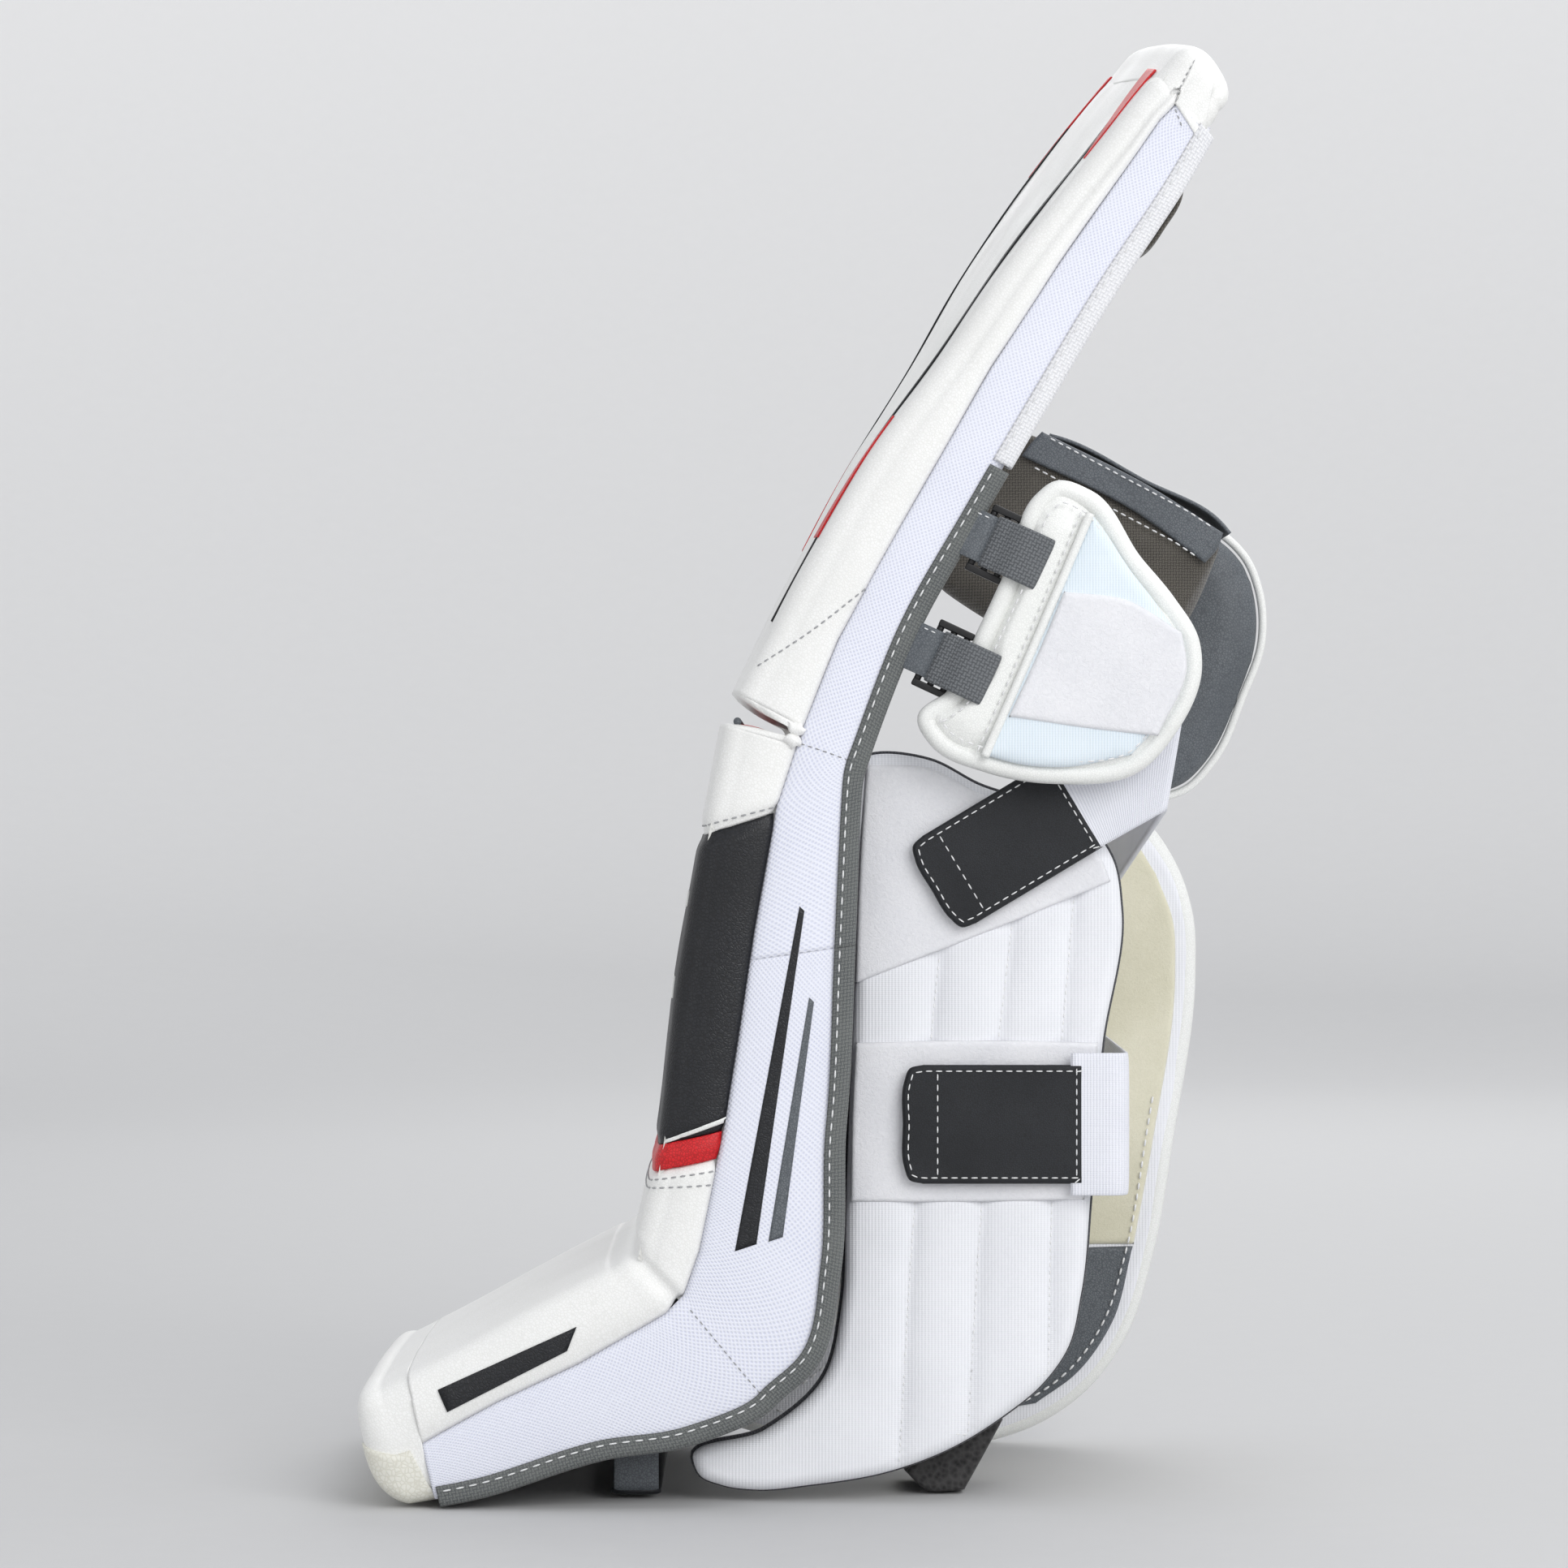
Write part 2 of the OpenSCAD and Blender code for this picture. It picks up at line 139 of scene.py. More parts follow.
def put(name, points, faces, material, uv=None):
    """A smooth mesh object from points and arrays of faces, turned outwards if it is inside out."""
    points = np.asarray(points, float).reshape(-1, 3)
    faces = [np.asarray(f, int) for f in faces if len(f)]
    if volume(points, faces) < 0:
        faces = [f[:, ::-1] for f in faces]
    used = np.unique(np.concatenate([f.ravel() for f in faces]))
    new = np.zeros(len(points), int)
    new[used] = np.arange(len(used))
    mesh = bpy.data.meshes.new(name)
    mesh.from_pydata(points[used].tolist(), [], [r for f in faces for r in new[f].tolist()])
    if uv is not None:
        corner = np.zeros(len(mesh.loops), np.int32)
        mesh.loops.foreach_get("vertex_index", corner)
        layer = mesh.uv_layers.new(name="UVMap")
        layer.data.foreach_set("uv", np.asarray(uv, float).reshape(-1, 2)[used][corner].ravel())
    mesh.polygons.foreach_set("use_smooth", [True] * len(mesh.polygons))
    mesh.materials.append(material)
    piece = bpy.data.objects.new(name, mesh)
    scene.collection.objects.link(piece)
    return piece


def round_angles(count):
    """Evenly spaced angles of one full turn, without its end."""
    return np.linspace(0, 2 * math.pi, count, endpoint=False)


def unit(v):
    """Vectors divided by their own lengths."""
    return v / np.maximum(np.linalg.norm(v, axis=-1, keepdims=True), 1e-12)


def normals_of(grid):
    """Unit normals of a grid: the cross product of its steps along a row and between rows."""
    return unit(np.cross(np.gradient(grid, axis=1), np.gradient(grid, axis=0)))


def spread(grid):
    """Texture coordinates in metres: the distance travelled along the rows and between them."""
    u = np.linalg.norm(np.diff(grid, axis=1), axis=-1).mean(0)
    v = np.linalg.norm(np.diff(grid, axis=0), axis=-1).mean(1)
    u, v = np.r_[0, np.cumsum(u)], np.r_[0, np.cumsum(v)]
    return np.stack(np.meshgrid(u, v), -1)


def facing(grid, out):
    """The grid with its columns reversed if its normals don't point along out."""
    return grid if (normals_of(grid) * out).sum() > 0 else grid[:, ::-1]


def skin(name, grid, wall, out, material):
    """A skin with a wall: the grid, the grid moved back by wall, and faces between the two rims."""
    grid = facing(grid, out)
    rows, cols = grid.shape[:2]
    count = rows * cols
    index = np.arange(count).reshape(rows, cols)
    ring = np.r_[index[0], index[1:, -1], index[-1, -2::-1], index[-2:0:-1, 0]]
    after = np.roll(ring, -1)
    rim = np.stack([after, ring, ring + count, after + count], -1)
    inner = grid - normals_of(grid) * wall
    uv = spread(grid)
    faces = [quads(rows, cols), quads(rows, cols, first=count)[:, ::-1], rim]
    return put(name, np.stack([grid, inner]), faces, material, np.stack([uv, uv]))


def pillow(name, near, far, material):
    """A closed form from two grids of one size: the far grid takes the near grid's rim."""
    rows, cols = near.shape[:2]
    index = np.arange(rows * cols).reshape(rows, cols)
    twin = index + rows * cols
    twin[0], twin[-1], twin[:, 0], twin[:, -1] = index[0], index[-1], index[:, 0], index[:, -1]
    face = quads(rows, cols)
    uv = near[..., [0, 2]]
    return put(name, np.stack([near, far]), [face, twin.ravel()[face][:, ::-1]], material,
               np.stack([uv, uv]))


def tube(name, rings, material, closed=False):
    """A tube through rings of points. Open ends get a fan of triangles to their middle point."""
    rows, cols = rings.shape[:2]
    uv = spread(np.concatenate([rings, rings[:, :1]], 1))[:, :-1]
    if closed:
        body = quads(rows + 1, cols, around=True) % (rows * cols)
        return put(name, rings, [body], material, uv)
    points = np.vstack([rings.reshape(-1, 3), rings[0].mean(0), rings[-1].mean(0)])
    j = np.arange(cols)
    after, last, end = (j + 1) % cols, (rows - 1) * cols, rows * cols
    fans = np.vstack([np.stack([after, j, np.full(cols, end)], -1),
                      np.stack([last + j, last + after, np.full(cols, end + 1)], -1)])
    uv = np.vstack([uv.reshape(-1, 2), uv[0].mean(0), uv[-1].mean(0)])
    return put(name, points, [quads(rows, cols, around=True), fans], material, uv)


# %% Curves and distances
STEP = 24  # points of a rounded curve between two rows of its table


def rounded(table):
    """Smooth curve through the rows of a table, STEP points to a step. Each is a Hermite cubic,
    and the slope at a row is the mean of the slopes on both sides of it, each weighted by the
    length of the other side, so that a short step beside a long one doesn't overshoot."""
    p = np.asarray(table, float)
    step = np.diff(p, axis=0)
    size = np.maximum(np.linalg.norm(step, axis=1, keepdims=True), 1e-9)
    slope = step / size
    inner = (slope[:-1] * size[1:] + slope[1:] * size[:-1]) / (size[:-1] + size[1:])
    m = np.vstack([slope[:1], inner, slope[-1:]])
    t = np.linspace(0, 1, STEP, endpoint=False)[None, :, None]
    a, b = p[:-1, None], p[1:, None]
    from_a, to_b = (m[:-1] * size)[:, None], (m[1:] * size)[:, None]
    q = (a * (2 * t**3 - 3 * t**2 + 1) + from_a * (t**3 - 2 * t**2 + t)
         + b * (3 * t**2 - 2 * t**3) + to_b * (t**3 - t**2))
    return np.vstack([q.reshape(-1, p.shape[1]), p[-1]])


def along(curve, share):
    """Points at given shares of a curve's length, by linear interpolation of its points."""
    length = np.r_[0, np.cumsum(np.linalg.norm(np.diff(curve, axis=0), axis=1))]
    at = np.asarray(share) * length[-1]
    return np.stack([np.interp(at, length, curve[:, k]) for k in range(curve.shape[1])], -1)


def length_of(curve):
    """Length of a curve: the sum of the distances between its points."""
    return np.linalg.norm(np.diff(curve, axis=0), axis=1).sum()


def distance(points, line):
    """Distance of each point from a line of segments: the least over the segments of the distance
    to the segment's nearest point."""
    a, d = line[:-1], np.diff(line, axis=0)
    p = points.reshape(-1, 1, line.shape[1])
    t = np.clip(((p - a) * d).sum(-1) / np.maximum((d * d).sum(-1), 1e-15), 0, 1)
    return np.linalg.norm(p - a - t[..., None] * d, axis=-1).min(1).reshape(points.shape[:-1])


def signed(value, power):
    """A value's size raised to a power with its sign kept, for the outline of a superellipse."""
    return np.sign(value) * np.abs(value) ** power


def ripple(points, wave, seed):
    """Soft unevenness from -1 to 1: the mean of nine sine waves in fixed random directions, with
    wavelengths from 0.6 to 1.8 times wave."""
    draw = np.random.default_rng(seed)
    way = draw.normal(size=(9, 3))
    length = wave * draw.uniform(0.6, 1.8, (9, 1))
    way *= 2 * math.pi / (length * np.linalg.norm(way, axis=1)[:, None])
    return np.sin(points @ way.T + draw.uniform(0, 6.28, 9)).mean(-1)


def leaned(points, at, degrees):
    """Points of a part's own frame turned about Y by degrees, then moved to at."""
    c, s = math.cos(math.radians(degrees)), math.sin(math.radians(degrees))
    x, y, z = np.moveaxis(np.asarray(points, float), -1, 0)
    return np.stack([x * c + z * s, y, z * c - x * s], -1) + np.asarray(at, float)


def landed(path, pieces, side):
    """A path in X and Z dropped square onto pieces from the outside (side -1) or inside (1) of
    the leg, or to the nearest surface where it misses. Gives the points and the normals there."""
    bpy.context.view_layer.update()
    graph = bpy.context.evaluated_depsgraph_get()
    trees = [BVHTree.FromObject(p, graph) for p in pieces]
    found = []
    for x, z in path:
        hits = [t.ray_cast(Vector((x, side * 0.5, z)), Vector((0, -side, 0))) for t in trees]
        hits = [h for h in hits if h[0] is not None]
        hits = hits or [t.find_nearest(Vector((x, side * 0.127, z))) for t in trees]
        near = min(hits, key=lambda h: h[3])
        found.append((*near[0], *(near[1] if near[1].y * side > 0 else -near[1])))
    found = np.array(found)
    return found[:, :3], found[:, 3:]


print("surface tools are ready")

# %% [markdown]
# ## Materials
# Each finish starts from what the real one is. One function adds a node with its settings and
# links. Patterns are worked out in metres, either on the object's own coordinates, or on the
# piece's texture coordinates, which are metres along and across the cloth.


# %% Node helper and colours
def hex_colour(code):
    """An sRGB hex colour as linear red, green and blue: the standard curve with its dark toe."""
    c = np.array([int(code[i:i + 2], 16) for i in (1, 3, 5)]) / 255
    c = np.where(c <= 0.04045, c / 12.92, ((c + 0.055) / 1.055) ** 2.4)
    return (*c.tolist(), 1.0)


def add(finish, kind, sockets=None, **settings):
    """Adds a node of one kind, sets its properties, and fills its sockets: a value is set on the
    socket, and another node's output is linked to it."""
    node = finish.node_tree.nodes.new(kind)
    for key, value in settings.items():
        setattr(node, key, value)
    for key, value in (sockets or {}).items():
        if isinstance(value, bpy.types.NodeSocket):
            finish.node_tree.links.new(value, node.inputs[key])
        else:
            node.inputs[key].default_value = value
    return node


def start(name):
    """A new material with no nodes but an output and a Principled shader, linked."""
    finish = bpy.data.materials.new(name)
    finish.use_nodes = True
    finish.node_tree.nodes.clear()
    shader = add(finish, "ShaderNodeBsdfPrincipled")
    add(finish, "ShaderNodeOutputMaterial", {"Surface": shader.outputs[0]})
    return finish, shader


def join(finish, shader, output, socket):
    """Links an output to one of the shader's sockets."""
    finish.node_tree.links.new(output, shader.inputs[socket])


def two_tone(finish, factor, dark, light):
    """A colour between two hex colours, by a factor."""
    mix = add(finish, "ShaderNodeMix", {0: factor, 6: hex_colour(dark), 7: hex_colour(light)},
              data_type="RGBA")
    return mix.outputs[2]


# %% [markdown]
# ### Leathers and vinyls
# Goal pads are covered in polyurethane-coated synthetic leather. It is embossed with a fine grain
# of cells about a millimetre across, and is a little glossier on top of the cells than between
# them. Cells are Voronoi noise, the crease between two cells is the dark tone, and slow noise
# makes the gloss uneven. IOR 1.5 is typical of polyurethane.


# %% Leathers and vinyls
def leather(name, dark, light, grain_mm, rough, bump_mm=0.12, coat=0.0):
    """Embossed synthetic leather: cells of grain_mm with creases, and slow gloss variation."""
    finish, shader = start(name)
    place = add(finish, "ShaderNodeTexCoord").outputs["Object"]
    cells = add(finish, "ShaderNodeTexVoronoi", {"Vector": place, "Scale": 1000 / grain_mm},
                feature="DISTANCE_TO_EDGE")
    crease = add(finish, "ShaderNodeMapRange", {"Value": cells.outputs[0], "From Max": 0.22},
                 interpolation_type="SMOOTHSTEP")
    slow = add(finish, "ShaderNodeTexNoise", {"Vector": place, "Scale": 28, "Detail": 3})
    wrinkle = add(finish, "ShaderNodeTexNoise", {"Vector": place, "Scale": 75, "Detail": 2,
                                                 "Distortion": 0.6})
    tone = add(finish, "ShaderNodeMath", {0: crease.outputs[0], 1: slow.outputs[0]},
               operation="MULTIPLY")
    tone = add(finish, "ShaderNodeMapRange", {"Value": tone.outputs[0], "From Max": 0.5})
    join(finish, shader, two_tone(finish, tone.outputs[0], dark, light), "Base Color")
    gloss = add(finish, "ShaderNodeMapRange", {"Value": slow.outputs[0], "From Min": 0.3,
                "From Max": 0.7, "To Min": rough + 0.07, "To Max": rough - 0.06})
    join(finish, shader, gloss.outputs[0], "Roughness")
    low = add(finish, "ShaderNodeBump", {"Height": wrinkle.outputs[0], "Strength": 0.35,
                                         "Distance": 0.0006})
    fine = add(finish, "ShaderNodeBump", {"Height": crease.outputs[0], "Strength": 0.6,
               "Distance": bump_mm / 1000, "Normal": low.outputs[0]})
    join(finish, shader, fine.outputs[0], "Normal")
    shader.inputs["IOR"].default_value = 1.5
    shader.inputs["Coat Weight"].default_value = coat
    shader.inputs["Coat Roughness"].default_value = 0.25
    return finish


white_leather = leather("white grained synthetic leather", "#efefec", "#f8f8f6", 1.3, 0.46, 0.08)
toe_leather = leather("ivory abrasion-resistant synthetic leather", "#e3e1d4", "#f1f0e6", 2.0, 0.4)
black_leather = leather("black grained synthetic leather", "#0c0d11", "#1a1c21", 1.5, 0.46, 0.16)
red_leather = leather("red grained synthetic leather", "#b50b12", "#dd1a22", 1.3, 0.42)
white_vinyl = leather("white soft vinyl", "#e9eae7", "#f6f7f4", 1.0, 0.4, 0.06)
grey_vinyl = leather("slate grey moulded vinyl", "#4f5459", "#686d72", 1.2, 0.5, 0.1)
tab_vinyl = leather("black matt vinyl", "#0d0f13", "#1a1d23", 0.9, 0.6, 0.06)
print("leathers:", white_leather.name, black_leather.name)

# %% [markdown]
# ### Cloths
# The side mesh is a knitted spacer fabric with rows of tiny round holes. Webbing and nylon are
# plain weaves, where warp and weft take turns on top: a checker picks one of two sets of ridges.
# Knit elastic has ribs across the strap, and brushed loop is a soft short pile. All of them are
# rough with a little sheen, and they are drawn slightly coarser than real so that they show.


# %% Cloths
def cloth_start(name, rough, sheen, on_surface, turn=0.0):
    """A rough fabric with sheen, and its coordinates: on_surface takes the piece's own texture
    coordinates, and otherwise the object's. turn is in degrees."""
    finish, shader = start(name)
    shader.inputs["Sheen Weight"].default_value = sheen
    shader.inputs["Sheen Roughness"].default_value = 0.4
    shader.inputs["Roughness"].default_value = rough
    shader.inputs["Specular IOR Level"].default_value = 0.3
    source = add(finish, "ShaderNodeTexCoord").outputs["UV" if on_surface else "Object"]
    axis = (0, 0, math.radians(turn)) if on_surface else (0, math.radians(turn), 0)
    place = add(finish, "ShaderNodeMapping", {"Vector": source, "Rotation": axis})
    return finish, shader, place.outputs[0]


def finish_cloth(finish, shader, height, dark, light, depth_mm, place):
    """Colour and bump of a cloth from one height pattern, with a slow drift of tone."""
    drift = add(finish, "ShaderNodeTexNoise", {"Vector": place, "Scale": 35, "Detail": 4})
    tone = add(finish, "ShaderNodeMath", {0: height, 1: drift.outputs[0]}, operation="ADD")
    tone = add(finish, "ShaderNodeMapRange", {"Value": tone.outputs[0], "From Min": 0.35,
                                              "From Max": 1.3})
    join(finish, shader, two_tone(finish, tone.outputs[0], dark, light), "Base Color")
    bump = add(finish, "ShaderNodeBump", {"Height": height, "Strength": 0.7,
                                          "Distance": depth_mm / 1000})
    join(finish, shader, bump.outputs[0], "Normal")
    return finish


def ridges(finish, place, pitch_mm, direction, wobble=0.0):
    """Parallel ridges of one pitch; a wave texture repeats every 0.314 over its scale."""
    wave = add(finish, "ShaderNodeTexWave", {"Vector": place, "Scale": 314.16 / pitch_mm,
               "Distortion": wobble, "Detail": 1.0}, bands_direction=direction)
    return wave.outputs["Fac"]


def spacer_mesh(name, dark, light, pitch_mm, depth_mm=0.35, on_surface=True):
    """Knitted spacer mesh: round holes on a square lattice turned by 45 degrees."""
    finish, shader, place = cloth_start(name, 0.85, 0.25, on_surface, 45)
    holes = add(finish, "ShaderNodeTexVoronoi", {"Vector": place, "Scale": 1000 / pitch_mm,
                "Randomness": 0.08}, voronoi_dimensions="2D" if on_surface else "3D")
    rim = add(finish, "ShaderNodeMapRange", {"Value": holes.outputs["Distance"],
              "From Min": 0.12, "From Max": 0.5}, interpolation_type="SMOOTHSTEP")
    return finish_cloth(finish, shader, rim.outputs[0], dark, light, depth_mm, place)


def woven(name, dark, light, pitch_mm, depth_mm=0.25, rough=0.8, sheen=0.2, on_surface=True):
    """Plain weave: a checker chooses between ridges along the cloth and ridges across it."""
    finish, shader, place = cloth_start(name, rough, sheen, on_surface)
    check = add(finish, "ShaderNodeTexChecker", {"Vector": place, "Scale": 1000 / pitch_mm})
    warp = ridges(finish, place, pitch_mm, "X")
    weft = ridges(finish, place, pitch_mm, "Y" if on_surface else "Z")
    pick = add(finish, "ShaderNodeMix", {0: check.outputs["Fac"], 2: warp, 3: weft})
    return finish_cloth(finish, shader, pick.outputs[0], dark, light, depth_mm, place)


def ribbed(name, dark, light, pitch_mm, direction, depth_mm=0.25, sheen=0.3, on_surface=True):
    """Knit with ribs one way and finer stitches across them, a third of the pitch."""
    finish, shader, place = cloth_start(name, 0.82, sheen, on_surface)
    across = {"X": "Y", "Y": "X", "Z": "X"}[direction]
    rib = ridges(finish, place, pitch_mm, direction, 0.3)
    loop = ridges(finish, place, pitch_mm * 0.6, across, 0.6)
    both = add(finish, "ShaderNodeMix", {0: 0.35, 2: rib, 3: loop})
    return finish_cloth(finish, shader, both.outputs[0], dark, light, depth_mm, place)


def brushed(name, dark, light, hair_mm, depth_mm=0.8):
    """Short soft pile: noise at the width of a tuft, with finer noise on it."""
    finish, shader, place = cloth_start(name, 0.95, 0.6, False)
    pile = add(finish, "ShaderNodeTexNoise", {"Vector": place, "Scale": 1000 / hair_mm,
               "Detail": 6, "Roughness": 0.7, "Distortion": 0.8})
    return finish_cloth(finish, shader, pile.outputs[0], dark, light, depth_mm, place)


side_mesh = spacer_mesh("blue-white spacer mesh", "#dcdff0", "#eff1fb", 1.5, 0.25)
thigh_mesh = spacer_mesh("white spacer mesh", "#d9dbe4", "#f0f1f6", 2.4)
wing_mesh = ribbed("white ribbed nylon mesh", "#e4e5ea", "#f5f6fa", 1.4, "X", 0.2)
back_nylon = woven("black-grey pack nylon", "#34353a", "#55565a", 1.4)
grey_binding = woven("grey binding tape", "#55585a", "#777a78", 1.5, 0.3)
white_binding = woven("white binding tape", "#dfe0e4", "#f4f4f6", 1.5, 0.3)
knit_elastic = ribbed("white knit elastic", "#dadce6", "#f2f3fa", 1.3, "Y", 0.35)
grey_elastic = woven("grey elastic webbing", "#4c4f52", "#76797c", 1.6, 0.45)
quilt_cloth = ribbed("pale blue knit textile", "#dbe8f2", "#ecf5fb", 1.2, "X", 0.2)
loop_fabric = brushed("white brushed loop", "#e2e3e8", "#f7f7fa", 1.6)
cream_liner = brushed("cream brushed knit liner", "#d3cfb4", "#e9e5d0", 1.2, 0.5)
charcoal = woven("charcoal canvas", "#3f3c38", "#66625b", 1.3, 0.3, 0.85, 0.25, False)
print("cloths:", side_mesh.name, knit_elastic.name)

# %% [markdown]
# ### Foam, thread and buckle plastic
# The wedge under the heel is open-cell polyurethane foam, full of dark pores. Thread is bonded
# polyester, twisted, so that fine ridges run across it. Buckles are moulded acetal: dark, with a
# faint pebbled skin from the mould and IOR 1.48.


# %% Foam, thread and plastic
def foam(name, dark, light, cell_mm):
    """Open-cell foam: Voronoi cells whose middles are dark pores."""
    finish, shader, place = cloth_start(name, 0.95, 0.1, False)
    cell = add(finish, "ShaderNodeTexVoronoi", {"Vector": place, "Scale": 1000 / cell_mm})
    return finish_cloth(finish, shader, cell.outputs["Distance"], dark, light, 0.9, place)


def thread(name, dark, light):
    """Twisted thread: slanting ridges about half a millimetre apart."""
    finish, shader, place = cloth_start(name, 0.6, 0.3, False, 35)
    return finish_cloth(finish, shader, ridges(finish, place, 0.5, "X"), dark, light, 0.1, place)


def moulded(name, dark, light, rough):
    """Moulded plastic with a pebbled skin of 0.4 mm."""
    finish, shader = start(name)
    place = add(finish, "ShaderNodeTexCoord").outputs["Object"]
    pebble = add(finish, "ShaderNodeTexNoise", {"Vector": place, "Scale": 2500, "Detail": 2})
    drift = add(finish, "ShaderNodeTexNoise", {"Vector": place, "Scale": 60, "Detail": 3})
    join(finish, shader, two_tone(finish, drift.outputs[0], dark, light), "Base Color")
    gloss = add(finish, "ShaderNodeMapRange", {"Value": drift.outputs[0],
                "To Min": rough - 0.08, "To Max": rough + 0.1})
    join(finish, shader, gloss.outputs[0], "Roughness")
    bump = add(finish, "ShaderNodeBump", {"Height": pebble.outputs[0], "Strength": 0.25,
                                          "Distance": 0.0002})
    join(finish, shader, bump.outputs[0], "Normal")
    shader.inputs["IOR"].default_value = 1.48
    return finish


dark_foam = foam("dark grey open-cell foam", "#1d1d1e", "#4b4a4a", 2.2)
core_foam = foam("white closed-cell foam", "#d4d4d0", "#e8e8e4", 1.5)
white_thread = thread("white bonded thread", "#dfe0e0", "#fafafa")
grey_thread = thread("grey bonded thread", "#8a8b8d", "#b5b6b8")
buckle_plastic = moulded("black acetal", "#0b0b0c", "#19191b", 0.38)
# Painted light on the sweep: its wall glows a little by emission, more with distance and height, in
# place of lamps lighting a backdrop
paper = moulded("pale studio sweep", "#c6c6c6", "#cacaca", 0.85)
shader = next(n for n in paper.node_tree.nodes if n.type == "BSDF_PRINCIPLED")
place = add(paper, "ShaderNodeTexCoord").outputs["Object"]
away = add(paper, "ShaderNodeVectorMath", {0: place}, operation="LENGTH")
height = add(paper, "ShaderNodeSeparateXYZ", {0: place})
painted_backdrop_glow = add(paper, "ShaderNodeMapRange", {"Value": away.outputs["Value"], "From Min": 2.4,
           "From Max": 4.4, "To Max": 0.22}, interpolation_type="SMOOTHSTEP")
# Painted light: the glow also grows with height
lift = add(paper, "ShaderNodeMapRange", {"Value": height.outputs["Z"], "From Max": 1.6,
                                         "To Max": 0.17})
painted_backdrop_glow = add(paper, "ShaderNodeMath", {0: painted_backdrop_glow.outputs[0], 1: lift.outputs[0]}, operation="ADD")
join(paper, shader, painted_backdrop_glow.outputs[0], "Emission Strength")
shader.inputs["Emission Color"].default_value = (1, 1, 1, 1)
for core in ("shin_core", "thigh_core", "boot_core"):
    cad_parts[core].data.materials.clear()
    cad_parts[core].data.materials.append(core_foam)

# The sweep: a profile of radius and height, turned once round
FLAT, AROUND = 3, 72  # radius of the flat floor and of its cove in metres, and points round it
tilt = np.linspace(0, math.pi / 2, 40)
bowl = np.vstack([np.stack([np.linspace(0.0005, FLAT, 16), np.zeros(16)], 1)[:-1],
                  np.stack([FLAT + FLAT * np.sin(tilt), FLAT - FLAT * np.cos(tilt)], 1),
                  [[2 * FLAT, 3.5]]])
turn = round_angles(AROUND)
rings = np.stack([bowl[:, :1] * np.cos(turn), bowl[:, :1] * np.sin(turn),
                  np.repeat(bowl[:, 1:], AROUND, 1)], -1)
sweep = put("studio_sweep", rings, [quads(len(bowl), AROUND, around=True)], paper)
print("sweep radius", bowl[-1, 0])

# %% [markdown]
# ## The pad's profile
# The pad is a long foam core bent at the ankle and at the knee. Seen from the side it is a list of
# stations, each with a point on the front and one on the back. On the thigh the inner side stands
# a little forward and up, which gives the face its twist. A curve through the stations makes the
# profile smooth, and one function then gives the point at any depth and width.

# %% Stations and the section function
HALF_W = 0.127
LEAN = math.radians(28)
BOOT = [[-199, 46, -186, 1, 0, 0], [-160, 66, -148, 8, 0, 0], [-120, 88, -96, 24, 0, 0],
        [-98, 99, -60, 30, 0, 0], [-90, 103, -30, 43, 0, 0]]
SHIN = [[-85, 107, -26, 47, 0, 0], [-83, 115, -10, 62, 0, 0], [-80, 128, -1, 100, 0, 0],
        [-77, 141, 1, 156, 0, 0], [-75, 152, 2, 168, 0, 0], [-66, 225, 5, 235, 0, 0],
        [-56, 282, 8, 300, 0, 0], [-47, 328, 10, 311, 0, 0]]
THIGH = [[-41, 341, 11, 314, 3, 0], [-14, 392, 32, 368, 6, 0], [14, 440, 59, 416, 9, 0],
         [47, 485, 87, 464, 14, 0], [77, 528, 114, 509, 19, 0], [111, 570, 143, 553, 22, 12],
         [137, 602, 157, 577, 20, 22]]
TOP = [[137, 602, 157, 577, 20, 22], [145, 610, 161, 584, 20, 25], [151, 612, 163, 592, 19, 25]]
# Where the side leather ends and the side mesh begins, in X and Z
LEATHER_EDGE = mm([[-187, 12], [-181, 23], [-165, 32], [-141, 45], [-107, 61], [-71, 82],
                   [-63.5, 89.5], [-57, 108], [-46, 162], [-34, 241], [-24.5, 294], [-14, 326],
                   [1, 363], [17, 393], [38, 430], [65, 477], [93, 520], [135, 580], [142, 587]])
LOWER = rounded(mm(BOOT + SHIN))  # toe to knee
UPPER = rounded(mm(THIGH + TOP[1:]))  # knee to the top end
KNEE_GUSSET = rounded(mm(SHIN[5:] + THIGH))  # middle of the shin to the top of the thigh


def part_of(profile, first, last, rows):
    """Evenly spaced rows of a profile between two stations, by the travel of its six columns."""
    piece = profile[int(first * STEP):int(last * STEP) + 1]
    return along(piece, np.linspace(0, 1, rows))


def at(rows, depth, width):
    """Points of the pad: from each row's front point towards its back point by depth, plus the
    inner side's shift, which grows in proportion to the width from the outer side."""
    front, back = rows[:, None, 0:2], rows[:, None, 2:4]
    way = unit(back - front)
    depth, width = np.broadcast_arrays(depth, width)
    p = front + way * depth[..., None]
    share = ((width + HALF_W) / (2 * HALF_W))[..., None]
    lean_x, lean_z = math.cos(LEAN), math.sin(LEAN)
    rise, lift = rows[:, None, 4:5], rows[:, None, 5:6]
    p = p + share * (rise * np.array([-lean_x, lean_z]) + lift * np.array([lean_z, lean_x]))
    return np.stack([p[..., 0], width, p[..., 1]], -1)


def depth_of(rows):
    """The pad's thickness at each row, as a column."""
    return np.linalg.norm(rows[:, 2:4] - rows[:, 0:2], axis=1)[:, None]


